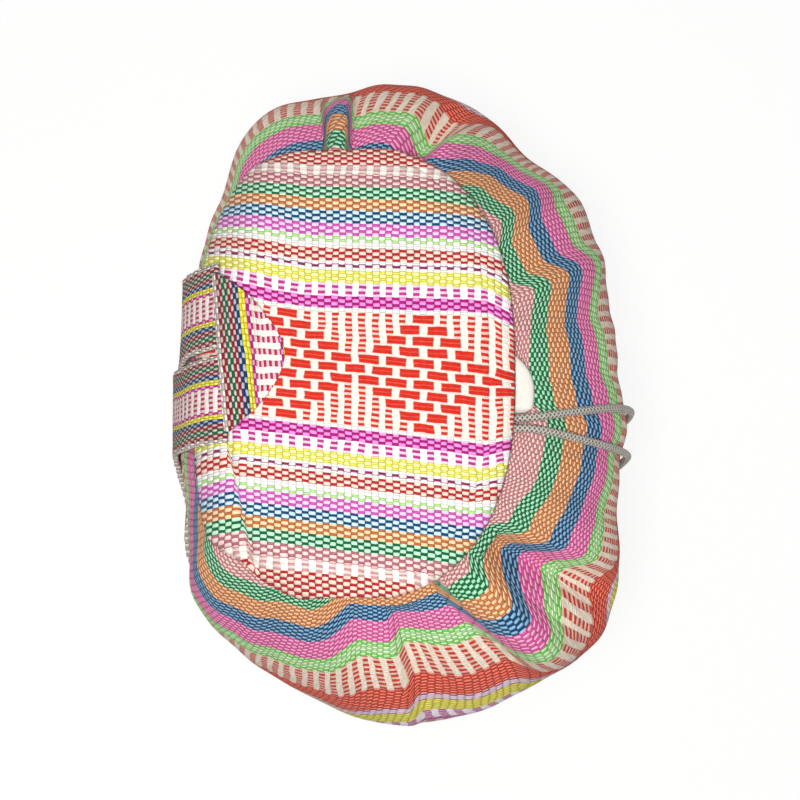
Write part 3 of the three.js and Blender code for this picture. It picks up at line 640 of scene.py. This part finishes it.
def lining_rows(angle):
    """Rows down the lining: the lip, which lies flat, then stands inside the casing, then curls
    out as it rises, the seam, then the body's smooth form set inwards by the slack, which fades
    down the wall, and the floor of the bag."""
    out = np.stack([np.cos(angle), np.sin(angle), np.zeros_like(angle)], -1)
    seam = gathered_body(angle, np.zeros_like(angle))
    seam[:, 2] -= HEM_DROP + LINING_DEPTH + LINING_SEAM
    away = np.degrees(angle) % 360 - LIP_ANGLE
    flat = np.where(away < 0, *LIP_PLATEAUS)
    lip = 1 - smooth_rise(np.abs(away) / np.where(away < 0, *LIP_HALF_ANGLES), flat, 1)
    lowest = seam[np.argmin(np.abs(away)), 2]
    drawn = LIP_DRAWN * np.clip(away / LIP_DRAWN_ANGLE, 0, 1) ** 2
    rows = []
    standing, curled = smooth_rise(lip, 0, 0.25), smooth_rise(lip, 0.65, 1)
    for share in np.linspace(0, 1, 15):
        inward = LIP_FLAT * (1 - share)
        inward = inward + (np.interp(share, LIP_RUN, LIP_INSIDE) - inward) * standing
        over = np.interp(share, LIP_RUN, LIP_OVER) + drawn * (1 - share)
        inward = inward + (over - inward) * curled
        row = seam - out * inward[:, None]
        raised = np.interp(share, LIP_RUN, LIP_RAISED)
        row[:, 2] += lip * (LIP_HEIGHT - seam[:, 2] + lowest) * raised
        rows.append(row)
    shoulder, wall = np.arange(46, 140, 12.0), np.arange(140, TUBE_HEIGHT - 40, 20.0)
    for cloth in np.concatenate([shoulder, wall]):
        slack = LINING_SLACK * (1 - smooth_rise(cloth, 60, 150))
        level = np.full_like(angle, cloth)
        facing = cloth_facing(smooth_body, angle, level)
        rows.append(smooth_body(angle, level) - facing * (LINING_DEPTH + slack))
    floor = base_ring(1.0)
    floor[:, 2] = CLOTH + LINING_GAP + LINING_CLOTH / 2
    for share in (1.0, 0.7, 0.4, 0.0):
        rows.append(np.concatenate([floor[:, :2] * share, floor[:, 2:]], axis=1))
    return np.stack(rows)


lining_points = lining_rows(ring_angle)
lining_down = LINING_ROW * np.arange(len(lining_points))
lining_weave = weave_places(belly_length[None, :], lining_down[:, None])
lining_pole = len(lining_points) - 1
lining = grid_mesh("cotton_lining", lining_points, lining_weave, closed=True, poles=(lining_pole,))
thicken(lining, LINING_CLOTH)


# Two threads of 0.6 mm make one wave, in radians a metre. Real ones are finer and wouldn't show.
PLAIN_WAVE = 5236.0
CLOUDS = 60.0


def plain_cotton(name, code):
    """Plain weave cotton: warp and weft as the product of two waves, a soft, matt, faintly cloudy
    white."""
    material, tree = new_material(name)
    uv = add(tree, "UVMap", uv_map="weave")
    waves = add(tree, "VectorMath", uv, (PLAIN_WAVE, PLAIN_WAVE, 0.0), operation="MULTIPLY")
    place = add(tree, "SeparateXYZ", waves)
    warp = add(tree, "Math", place.outputs[0], operation="SINE")
    weft = add(tree, "Math", place.outputs[1], operation="SINE")
    weave = add(tree, "Math", warp, weft, operation="MULTIPLY")
    cloudy = add(tree, "TexNoise", uv, None, CLOUDS, 3.0, noise_dimensions="2D")
    tone = add(tree, "MapRange", cloudy, 0.3, 0.7, 0.95, 1.0)
    colour = add(tree, "MixRGB", 1.0, linear(code), tone, blend_type="MULTIPLY")
    spun_surface(tree, colour, weave, 0.25, 0.0002, roughness=0.85, gloss=0.3, sheen=0.15)
    return material


lining.data.materials.append(plain_cotton("white plain-weave cotton", "#F1ECE2"))
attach(lining, "root")
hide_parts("lining")

# Drawstring
# A braided cotton cord. Its loop runs in the casing; two tails come up out of the front of the
# mouth, lie over the shoulder and hang down the front, each ending in a knot.
CORD_DIAMETER = 3.8
LOOP_INSET = 1.9
LOOP_START = 265.0
LOOP_TURN = 354.0
BRAID_PITCH = 2.1
BRAID_STRANDS = 4
FLECKS = 900.0
LEFT_ROUTE = [
    (-25.5, -37.4, 272), (-25.4, -38.4, 281.5), (-25.2, -41.4, 288.4), (-24.9, -48.5, 291.3),
    (-24.8, -55.5, 292), (-25.2, -62, 290.9), (-26, -68.5, 288.2), (-27, -75, 284.9),
    (-28, -82, 280.4), (-28.8, -88.5, 275.4), (-29.6, -96, 268.1), (-30.2, -103, 257.9),
    (-30.6, -107.8, 246), (-30.8, -108.6, 234), (-30.8, -108.2, 214), (-30.5, -107.6, 190),
    (-30.2, -107.2, 166), (-30, -107.2, 144),
]
RIGHT_ROUTE = [
    (-20.3, -39.2, 271.5), (-20.3, -40.8, 280.5), (-20.2, -45.3, 287.4), (-20, -51, 290.4),
    (-19.7, -57, 291.4), (-19, -62.5, 290.9), (-17.9, -68, 288.8), (-16.7, -73.5, 286),
    (-15.4, -79.5, 282.8), (-14.1, -85.5, 278.7), (-12.7, -91.5, 274.1), (-11.2, -98, 267.7),
    (-9.9, -105, 258.6), (-9.3, -109.5, 248), (-9.2, -111, 236), (-9.4, -110.8, 216),
    (-9.8, -110.2, 190), (-10.2, -109.8, 160), (-10.4, -109.8, 132),
]


def smooth_path(points, count):
    """Centripetal Catmull-Rom curve through points, count places evenly spread over the spans."""
    points = np.asarray(points, float)
    padded = np.vstack([2 * points[0] - points[1], points, 2 * points[-1] - points[-2]])
    place = np.linspace(0, len(points) - 1, count)
    span = np.minimum(place.astype(int), len(points) - 2)
    t = (place - span)[:, None]
    p0, p1, p2, p3 = (padded[span + i] for i in range(4))
    chords = (p1 - p0, p2 - p1, p3 - p2)
    d0, d1, d2 = (np.sqrt(np.linalg.norm(chord, axis=-1, keepdims=True)) for chord in chords)
    lead = ((p1 - p0) / d0 - (p2 - p0) / (d0 + d1) + (p2 - p1) / d1) * d1
    trail = ((p2 - p1) / d1 - (p3 - p1) / (d1 + d2) + (p3 - p2) / d2) * d1
    cubic = 2 * p1 - 2 * p2 + lead + trail
    square = -3 * p1 + 3 * p2 - 2 * lead - trail
    return p1 + t * (lead + t * (square + t * cubic))


def cord_piece(name, path, diameter, sides=14):
    """Tube round a path: a circle in the plane of two vectors square to the path, carried along
    it by least turning, closed at both ends by a rounded cap."""
    ahead = unit(np.gradient(path, axis=0))
    across = np.empty_like(path)
    start = np.cross(ahead[0], [0.3, 0.2, 1.0])
    for number, step in enumerate(ahead):
        start = start - step * (start @ step)
        start = start / np.linalg.norm(start)
        across[number] = start
    upward = np.cross(ahead, across)
    turn = np.arange(sides) * 2 * np.pi / sides
    cosine, sine = np.cos(turn)[None, :, None], np.sin(turn)[None, :, None]
    ring = across[:, None] * cosine + upward[:, None] * sine
    tube = path[:, None] + ring * diameter / 2
    reach = path_length(path)
    caps = np.array([0.98, 0.75, 0.0])
    bulge = np.sqrt(1 - caps**2)
    head = path[0] + ring[0] * (caps[::-1, None, None] * diameter / 2)
    head = head - ahead[0] * (bulge[::-1, None, None] * diameter / 4)
    tail = path[-1] + ring[-1] * (caps[:, None, None] * diameter / 2)
    tail = tail + ahead[-1] * (bulge[:, None, None] * diameter / 4)
    points = np.concatenate([head, tube, tail])
    reach = np.concatenate([np.full(len(caps), reach[0]), reach, np.full(len(caps), reach[-1])])
    around = np.arange(sides + 1) * np.pi * diameter / sides
    weave = weave_places(reach[:, None], around[None, :])
    return grid_mesh(name, points, weave, closed=True, poles=(0, len(points) - 1))


def braided_cord(name, diameter, strands):
    """Round braid: two sets of helical strands cross, cos(along + around) against
    cos(along - around), each strand rounded, with a dull shine; the grey in the gaps between them
    is painted shade."""
    material, tree = new_material(name)
    uv = add(tree, "UVMap", uv_map="weave")
    place = add(tree, "SeparateXYZ", uv)
    pitches, turns = 1000 * 2 * np.pi / BRAID_PITCH, 1000 * strands * 2 / diameter
    along = add(tree, "Math", place.outputs[0], pitches, operation="MULTIPLY")
    around = add(tree, "Math", place.outputs[1], turns, operation="MULTIPLY")
    right = add(tree, "Math", along, around, operation="ADD")
    right = add(tree, "Math", right, operation="COSINE")
    left = add(tree, "Math", along, around, operation="SUBTRACT")
    left = add(tree, "Math", left, operation="COSINE")
    braid = add(tree, "Math", right, left, operation="MAXIMUM")
    fleck = add(tree, "TexNoise", uv, None, FLECKS, 2.0, noise_dimensions="2D")
    # Painted shade: the off-white cord is coloured grey where the strands dip apart, lightest on
    # their crowns.
    tone = add(tree, "MapRange", braid, -0.2, 0.9, 0.0, 1.0)
    colour = add(tree, "MixRGB", tone, linear("#7C746A"), linear("#D6CFC4"))
    tint = add(tree, "MapRange", fleck, 0.35, 0.7, 0.86, 1.04)
    colour = add(tree, "MixRGB", 1.0, colour, tint, blend_type="MULTIPLY")
    spun_surface(tree, colour, braid, 0.8, 0.0006, roughness=0.42, gloss=0.6, sheen=0.0)
    return material


off_white_braid = braided_cord("off-white braided cotton cord", CORD_DIAMETER, BRAID_STRANDS)
loop_angle = np.radians(LOOP_START + LOOP_TURN * np.linspace(0, 1, 240))
loop_facing = cloth_facing(gathered_body, loop_angle, np.zeros_like(loop_angle))
loop_path = gathered_body(loop_angle, np.full_like(loop_angle, LOOP_INSET))
loop = cord_piece("cord_loop", loop_path - loop_facing * TURN_RADIUS, CORD_DIAMETER, sides=10)
loop.data.materials.append(off_white_braid)
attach(loop, "root")
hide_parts("drawstring_loop")

KNOT_RADIUS = 3.5
KNOT_CORD = 3.3
KNOT_STRETCH = 1.4


def knot_path(end):
    """Trefoil drawn tight below the cord's end: radius R(2 + cos 3t) / 2 turned by 2t, height
    R sin 3t / 2 times its stretch."""
    t = np.linspace(0, 2 * np.pi, 121)
    reach = KNOT_RADIUS * (2 + np.cos(3 * t)) / 2
    height = KNOT_RADIUS * np.sin(3 * t) / 2 * KNOT_STRETCH
    drop = (KNOT_RADIUS + KNOT_CORD) / 2 * KNOT_STRETCH + SEWN_GAP
    return np.stack([reach * np.cos(2 * t), reach * np.sin(2 * t), height - drop], -1) + end


for hand, route in (("left", LEFT_ROUTE), ("right", RIGHT_ROUTE)):
    path = smooth_path(route, 150)
    tail = cord_piece(f"{hand}_cord_tail", path, CORD_DIAMETER)
    tail.data.materials.append(off_white_braid)
    tied = knot_path(np.array(route[-1], float))
    knot = cord_piece(f"{hand}_cord_knot", tied, KNOT_CORD, sides=12)
    knot.data.materials.append(off_white_braid)
    for piece, node in ((tail, f"{hand}_tail"), (knot, f"{hand}_knot")):
        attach(piece, "root")
        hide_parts(node)

# Lid
# A D-shaped flap of the same handweave, sewn down along the back of the mouth. Its stripes run
# from back to front, a little askew, and its front edge is a turned hem.
LID_CLOTH = 2.6
LID_WIDTH = 213.0
LID_SIDE_SHIFT = 4.0
LID_MIDDLE = 30.0
LID_FRONT_REACH = 80.0
LID_BACK_REACH = 67.0
LID_FRONT_SQUARENESS = 2.55
LID_BACK_SQUARENESS = 3.2
LID_CORNER_CUT = 0.9
LID_CORNER = (0.72, 0.84)
LID_CROWN = 5.0
LID_REST = 3.2
LID_SEAM_REST = 1.4
STRIPE_RIDGE = 0.5
LID_TIP = 0.985
EDGE_DROOP = 1.1
EDGE_ROUND = 3.5
HEM_LINE = 11.0
CREASE_BACK = 80.0
CREASE_BEND = -29.0
CREASE_SLANT = 0.226
CREASE_SIDE = (15, 30)
# Grooves at the hem's seam and in the crease: depth and half width.
HEM_GROOVE = (0.5, 1.2)
CREASE_GROOVE = (2.2, 2.0)


def shoulder_height(x, y):
    """Height of the smooth body under plan points, by halving the share of the shoulder."""
    low, high = np.zeros_like(x), np.ones_like(x)
    for _ in range(24):
        share = (low + high) / 2
        outward = np.sin(share * np.pi / 2) ** (2 / SHOULDER_ROUNDNESS)
        dx = x - MOUTH_SIDE_SHIFT * (1 - outward)
        dy = y - MOUTH_SETBACK * (1 - outward)
        angle = np.arctan2(dy, dx)
        point = smooth_body(angle, share * shoulder_length(angle))
        short = (point[..., 0] - x) * np.cos(angle) + (point[..., 1] - y) * np.sin(angle) < 0
        low, high = np.where(short, share, low), np.where(short, high, share)
    return point[..., 2]


def lid_edges(x):
    """Front and back edge of the lid: two half superellipses about its middle line, the back one
    cut rounder at its left corner."""
    share = np.clip(np.abs(x - LID_SIDE_SHIFT) / (LID_WIDTH / 2), 0, 1)
    corner = smooth_rise(share, *LID_CORNER) * (x < LID_SIDE_SHIFT)
    ahead, behind = LID_FRONT_SQUARENESS, LID_BACK_SQUARENESS - LID_CORNER_CUT * corner
    front = LID_MIDDLE - LID_FRONT_REACH * (1 - share**ahead) ** (1 / ahead)
    return front, LID_MIDDLE + LID_BACK_REACH * (1 - share**behind) ** (1 / behind)


def lid_height(x, y):
    """Middle of the lid: the shoulder, the two cloths' half thicknesses on the slope, its rest
    and a crown."""
    front, back = lid_edges(x)
    run = np.clip((y - front) / (back - front), 0, 1)
    aside = np.abs(x - LID_SIDE_SHIFT) / (LID_WIDTH / 2)
    crown = LID_CROWN * (1 - aside**4) * (1 - np.abs(2 * run - 1) ** 6)
    rest = LID_REST + (LID_SEAM_REST - LID_REST) * smooth_rise(run, 0.8, 1)
    slope = (shoulder_height(x, y - 1) - shoulder_height(x, y + 1)) / 2
    return shoulder_height(x, y) + (CLOTH + LID_CLOTH) / 2 * np.hypot(1, slope) + rest + crown


lid_share = np.linspace(-1, 1, 181)
lid_share = 0.65 * lid_share + 0.35 * np.sin(lid_share * np.pi / 2)
lid_x = LID_SIDE_SHIFT + lid_share * LID_WIDTH / 2 * LID_TIP
lid_run = np.linspace(0, 1, 121)
lid_run = 0.7 * lid_run + 0.3 * (1 - np.cos(lid_run * np.pi)) / 2
front, back = lid_edges(lid_x)
lid_y = front[None, :] + (back - front)[None, :] * lid_run[:, None]
lid_xx = np.broadcast_to(lid_x, lid_y.shape)
lid_z = lid_height(lid_xx, lid_y)
# All edges droop and are rounded. The front edge is turned under, with a groove at its seam.
from_front = lid_y - front[None, :]
from_back = back[None, :] - lid_y
from_side = LID_WIDTH / 2 - np.abs(lid_xx - LID_SIDE_SHIFT)
to_edge = np.minimum(np.minimum(from_front, from_back), from_side)
lid_z = lid_z - EDGE_DROOP * np.clip(1 - to_edge / EDGE_ROUND, 0, 1) ** 2
sunk, half = HEM_GROOVE
lid_z = lid_z - sunk * np.exp(-(((to_edge - HEM_LINE) / half) ** 2)) * (from_front < from_back)
# Behind a crease on the left the lid breaks over the back of the bag.
behind = lid_y - CREASE_BACK - CREASE_SLANT * np.minimum(lid_xx - CREASE_BEND, 0)
on_left = smooth_rise(-lid_xx, *CREASE_SIDE)
sunk, half = CREASE_GROOVE
lid_z = lid_z - sunk * on_left * (to_edge > 2) * np.exp(-((behind / half) ** 2))
lid_points = np.stack([lid_xx, lid_y, lid_z], -1)
# Middle line of the stripes in plan: it slants by 9 mm in 100 mm from back to front.
PATTERN_SLANT = 0.0927
PATTERN_MIDDLE = -0.9
BROCADE_PEAK = 8.8
LID_ROW = 1.4
CRIMSON = ("#BC2026", "#FBD0C0")
BLUSH = ("#CC9494", "#FBF0E6")
ROSE = ("#B86C74", "#F6CCC8")
LEAF = ("#046334", "#B8EBC8")
AMBER = ("#C26C34", "#FBCEA2")
SKY = ("#0C426C", "#C4E2F6")
ORCHID = ("#D350B4", "#FAC4F0")
MINT = ("#B4E68C", "#F4FAE6")
LEMON = ("#EFE750", "#FBF9A4")
LID_REPEAT = 6.2
LID_BRICK = 4.85
LID_STRIPES = [
    (19, SCARLET, "brocade"),
    (1, CREAM, "plain"),
    (4, MAGENTA, "check"),
    (4, FUCHSIA, "ladder"),
    (4, LEMON, "check"),
    (1, CREAM, "plain"),
    (1, PLUM, "check"),
    (1, CREAM, "plain"),
    (4, CRIMSON, "check"),
    (2, CREAM, "plain"),
    (2, MINT, "check"),
    (4, ORCHID, "check"),
    (4, SKY, "check"),
    (4, AMBER, "check"),
    (4, LEAF, "check"),
    (4, ROSE, "check"),
    (4, BLUSH, "ladder"),
    (8, CRIMSON, "check"),
]
# Shifts of the stripes: where those of one side bow, by how much at most and how it falls off to
# the front and the back, where the other side's are level and their slant, how much wider they are
# beaten past the brocade, the draw of the hem and the jump and fall behind the crease.
BOW_PLACE = 42.5
BOW = (1.8, 0.065, 0.0033)
OTHER_PLACE = 11.0
OTHER_SLANT = 0.02
BEATEN_WIDER = 0.07
HEM_DRAW = 5.0
CREASE_JUMP = 4.3
CREASE_FALL = 0.22
pattern = lid_xx - PATTERN_MIDDLE - PATTERN_SLANT * lid_y
# Those above the brocade bow: they climb to the back and run level towards the front.
before, after = np.maximum(BOW_PLACE - lid_y, 0), np.maximum(lid_y - BOW_PLACE, 0)
bow = BOW[0] - BOW[1] * before - BOW[2] * after**2
above, below = smooth_rise(pattern, 0, 30), smooth_rise(-pattern, 0, 30)
pattern = pattern + bow * above + OTHER_SLANT * (OTHER_PLACE - lid_y) * below
# The stripes are beaten 7 per cent wider on the upper side of the brocade.
pattern = pattern - BEATEN_WIDER * np.maximum(pattern - LID_ROW * LID_STRIPES[0][0], 0)
# At the front hem they are drawn towards the middle. Behind the crease they start higher and fall.
hem = np.clip(1 - from_front / HEM_LINE, 0, 1)
drawn = np.sign(pattern) * np.exp(-(((np.abs(pattern) - 32) / 26) ** 2))
pattern = pattern + HEM_DRAW * hem * drawn
raised = CREASE_JUMP - CREASE_FALL * np.clip(behind, 0, 19)
pattern = pattern - raised * smooth_rise(behind, -1, 2) * on_left
lid_weave = np.stack([lid_y + BROCADE_PEAK, pattern], -1)
lid = grid_mesh("lid_cloth", lid_points, lid_weave)
thicken(lid, LID_CLOTH)
lid_cotton = handweave(
    "striped handwoven lid cotton",
    LID_STRIPES,
    LID_ROW,
    LID_REPEAT,
    slant=0.0,
    swell=0.42,
    brick=LID_BRICK,
)
lid.data.materials.append(lid_cotton)
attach(lid, "root")
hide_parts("lid")

# Shoulder straps
# Two dense woven bands, 40 mm wide, sewn side by side on the back of the lid. They hang down
# behind the bag, clear of the back wall, and are sewn to it at the two lower corners.
BAND_WIDTH = 40.0
BAND_THICKNESS = 2.2
STRAP_SPACING = 44.0
STRAP_SIDE_SHIFT = 9.0
STRAP_LIFT = 1.0
STRAP_BEND = 7.0
STRAP_EDGE_INSET = 2.0
STRAP_UNDER_PATCH = 3.5
STRAP_STEPS = 190
BAND_CROWN = 0.4
BAND_PUCKER = 0.45
SELVEDGE_START = 0.75
PATCH_BACK = 80.0
PATCH_LEFT = -28.44
PATCH_LEAN = 0.11
# Places down the back: the angle from the side, the turn of both straps to one side, the cloth
# below the mouth and the gap behind the band.
STRAP_HANG = [
    (79, 5, 70, 1), (76, 4, 110, 2.7), (70, 2.5, 145, 5), (62, 1, 180, 15),
    (52, 0, 240, 20), (46, 0, 285, 9),
]
STRAP_SEAT = [(43, 0, 300, 0), (43, 0, 316, 0)]


def lid_level(x, y):
    """Height of the lid's middle under a band, where it is highest across the band."""
    under = x + np.array([-0.5, -0.25, 0, 0.25, 0.5]) * BAND_WIDTH
    return float(np.max(lid_height(under, np.full_like(under, y))))


def strap_stations(hand):
    """Middles and facings of the band: on the lid, over its back edge, off the wall and at the
    seat."""
    x = STRAP_SIDE_SHIFT + hand * STRAP_SPACING / 2
    back = float(lid_edges(np.array([x]))[1][0])
    lift = LID_CLOTH / 2 + STRIPE_RIDGE + STRAP_LIFT + BAND_THICKNESS / 2
    middles, facings = [], []
    seam = PATCH_BACK + PATCH_LEAN * (x - PATCH_LEFT)
    for y in (seam - STRAP_UNDER_PATCH, seam, (seam + back) / 2, back - STRAP_EDGE_INSET):
        facing = unit(np.array([0, lid_level(x, y - 1) - lid_level(x, y + 1), 2.0]))
        middles.append(np.array([x, y, lid_level(x, y)]) + facing * lift)
        facings.append(facing)
    middles.append(np.array([x, back + STRAP_BEND, lid_level(x, back) - STRAP_BEND]))
    facings.append(np.array([0, 1, 0.5]))
    seat = (CLOTH + BAND_THICKNESS) / 2 + 2 * SEWN_GAP
    for degrees, askew, cloth, clear in STRAP_HANG + STRAP_SEAT:
        angle = np.radians([(degrees if hand > 0 else 180 - degrees) - askew])
        level = np.array([float(cloth)])
        facing = cloth_facing(gathered_body, angle, level)[0]
        middles.append(gathered_body(angle, level)[0] + facing * (clear + seat))
        facings.append(facing)
    return np.array(middles), np.array(facings)


BAND_ROW = 1.25
BAND_REPEAT = 5.6
DARK_RED = ("#86142C", "#D2AEA4")
RASPBERRY = ("#B0285A", "#F6E8E0")
BAND_GREEN = ("#08583A", "#B4C2AC")
BAND_BLUE = ("#12305E", "#A6B2BE")
BAND_YELLOW = ("#D9C81E", "#F2EC6E")
SELVEDGE = ("#B9ADA4", "#EFE7DE")
BAND_STRIPES = [
    (5, RASPBERRY, "ladder"),
    (1, MAGENTA, "check"),
    (2, BAND_YELLOW, "check"),
    (2, BAND_BLUE, "check"),
    (2, DARK_RED, "check"),
    (2, BAND_GREEN, "check"),
    (2, DARK_RED, "check"),
    (3, SELVEDGE, "check"),
]
BAND_PATTERN = 22.0
BAND_BRICK = 5.0
band_cotton = handweave(
    "dense woven strap band",
    BAND_STRIPES,
    BAND_ROW,
    BAND_REPEAT,
    slant=0.0,
    swell=-0.05,
    brick=BAND_BRICK,
)
band_edges = np.linspace(-0.5, 0.5, 21)
for hand, name in ((-1, "left_strap"), (1, "right_strap")):
    middles, facings = strap_stations(hand)
    path = smooth_path(middles, STRAP_STEPS)
    ahead = unit(np.gradient(path, axis=0))
    across = unit(np.cross(ahead, smooth_path(facings, STRAP_STEPS)))
    facing = unit(np.cross(across, ahead))
    # A band crowns a little across its width, and its selvedges pucker.
    reach = path_length(path)
    crown = BAND_CROWN * (1 - (2 * band_edges) ** 4)[None, :]
    pucker = np.clip(np.abs(2 * band_edges) - SELVEDGE_START, 0, 1) / (1 - SELVEDGE_START)
    waves = np.sin(reach / 1.3 + 1.5 * np.sin(reach / 9))
    crown = crown + BAND_PUCKER * pucker[None, :] * waves[:, None]
    points = path[:, None] + across[:, None] * (band_edges * BAND_WIDTH)[None, :, None]
    points = points + facing[:, None] * crown[:, :, None]
    weave = weave_places(reach[:, None], (2 * BAND_PATTERN * band_edges)[None, :])
    strap = grid_mesh(f"{name}_band", points, weave)
    thicken(strap, BAND_THICKNESS)
    strap.data.materials.append(band_cotton)
    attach(strap, "root")
    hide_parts(name)

# Strap patch
# A half-moon cut from the same band, sewn a little askew over the strap ends, with its selvedge
# to the back.
PATCH_WIDTH = 78.0
PATCH_DEPTH = 30.0
PATCH_RISE = 73.0
PATCH_SLOPE = 9.0
PATCH_TIP = 0.96
PATCH_ROUNDNESS = 1.7
PATCH_THICKNESS = 2.0
STRAP_RIDGE = 0.4
patch_share = np.linspace(-1, 1, 61) * PATCH_TIP
patch_x = STRAP_SIDE_SHIFT + patch_share * PATCH_WIDTH / 2
patch_run = np.linspace(0, 1, 31)
patch_depth = PATCH_DEPTH * (1 - np.abs(patch_share) ** PATCH_ROUNDNESS)
askew = PATCH_LEAN * (patch_x - PATCH_LEFT)[None, :]
patch_y = PATCH_BACK + askew - patch_depth[None, :] * (1 - patch_run[:, None])
patch_xx = np.broadcast_to(patch_x, patch_y.shape)
lifted = BAND_THICKNESS + STRAP_RIDGE + STRAP_LIFT + 4 * SEWN_GAP
lift = SEWN_GAP + lifted * smooth_rise(patch_y, PATCH_RISE - PATCH_SLOPE, PATCH_RISE)
on_lid = lid_height(patch_xx, patch_y)
strap_x = STRAP_SIDE_SHIFT + np.sign(patch_share) * STRAP_SPACING / 2
on_strap = lid_height(np.broadcast_to(strap_x, patch_y.shape), patch_y)
patch_z = np.maximum(on_lid, on_strap) + LID_CLOTH / 2 + STRIPE_RIDGE + lift + PATCH_THICKNESS / 2
patch_points = np.stack([patch_xx, patch_y, patch_z], -1)
patch_weave = np.stack([patch_xx, patch_y - askew - PATCH_BACK + BAND_PATTERN], -1)
patch = grid_mesh("patch_cloth", patch_points, patch_weave)
thicken(patch, PATCH_THICKNESS)
patch.data.materials.append(band_cotton)
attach(patch, "root")
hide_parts("strap_patch")

# Studio
# A plain pale floor, soft light from above and a camera that looks down on the lid.
FLOOR_GLOW = 1.2
FLOOR_SEEN = 0.72
SKY_LIGHT = 0.2


def seen_directly(tree):
    """1 for a ray from the camera, by a mirror or through glass, 0 for light that fills shadows:
    the largest of the three."""
    ray = add(tree, "LightPath").outputs
    seen = add(tree, "Math", ray["Is Camera Ray"], ray["Is Glossy Ray"], operation="MAXIMUM")
    return add(tree, "Math", seen, ray["Is Transmission Ray"], operation="MAXIMUM")


floor_mesh = bpy.data.meshes.new("floor")
floor_mesh.from_pydata([(-4, -4, 0), (4, -4, 0), (4, 4, 0), (-4, 4, 0)], [], [(0, 1, 2, 3)])
floor = bpy.data.objects.new("floor", floor_mesh)
bpy.context.scene.collection.objects.link(floor)
# Matt backdrop paper that looks evenly white, with a soft shadow, and throws little colour back.
paper, tree = new_material("white backdrop paper")
seen = add(tree, "Math", seen_directly(tree), FLOOR_SEEN, operation="MULTIPLY")
matt = add(tree, "BsdfDiffuse", linear("#CFCECB"))
glow = add(tree, "Emission", (1, 1, 1, 1), FLOOR_GLOW)
add(tree, "OutputMaterial", add(tree, "MixShader", seen, matt, glow))
floor_mesh.materials.append(paper)

world = bpy.data.worlds.new("studio")
bpy.context.scene.world = world
world.use_nodes = True
world.node_tree.nodes.clear()
tree = world.node_tree
soft = add(tree, "Background", (1, 1, 1, 1), SKY_LIGHT)
white = add(tree, "Background", (1, 1, 1, 1), 1.0)
add(tree, "OutputWorld", add(tree, "MixShader", seen_directly(tree), soft, white))


def soft_lamp(name, place, target, size, power):
    """A square area lamp at a place in metres, aimed at a target."""
    data = bpy.data.lights.new(name, "AREA")
    data.size = size
    data.energy = power
    lamp = bpy.data.objects.new(name, data)
    aim = unit(np.array(target, float) - np.array(place, float))
    side = unit(np.cross(aim, [0.1, 1.0, 0.0]))
    columns = np.stack([side, np.cross(side, aim), -aim, np.array(place, float)], 1)
    lamp.matrix_world = Matrix(np.vstack([columns, [0, 0, 0, 1]]).tolist())
    bpy.context.scene.collection.objects.link(lamp)


soft_lamp("key lamp", (-0.20, 0.05, 1.16), (0, 0, 0.25), 0.16, 8.4)
soft_lamp("fill lamp", (0.9, 0.7, 0.9), (0, 0, 0.2), 0.9, 2.0)

VIEW_TILT = np.radians(11.0)
VIEW_DISTANCE = 0.760
VIEW_TARGET = np.array([0.0, 0.0, 0.290])
looking = np.array([np.sin(VIEW_TILT), 0.0, -np.cos(VIEW_TILT)])
view_up = np.array([np.cos(VIEW_TILT), 0.0, np.sin(VIEW_TILT)])
camera_data = bpy.data.cameras.new("camera")
camera_data.lens = 74.3
camera_data.sensor_width = 36.0
camera_data.shift_x = -0.005
camera_data.shift_y = -0.03
camera = bpy.data.objects.new("camera", camera_data)
view_from = VIEW_TARGET - looking * VIEW_DISTANCE
turned = np.stack([np.cross(looking, view_up), view_up, -looking, view_from], 1)
camera.matrix_world = Matrix(np.vstack([turned, [0, 0, 0, 1]]).tolist())
bpy.context.scene.collection.objects.link(camera)
bpy.context.scene.camera = camera
bpy.context.scene.view_settings.view_transform = "Standard"

bpy.context.view_layer.update()
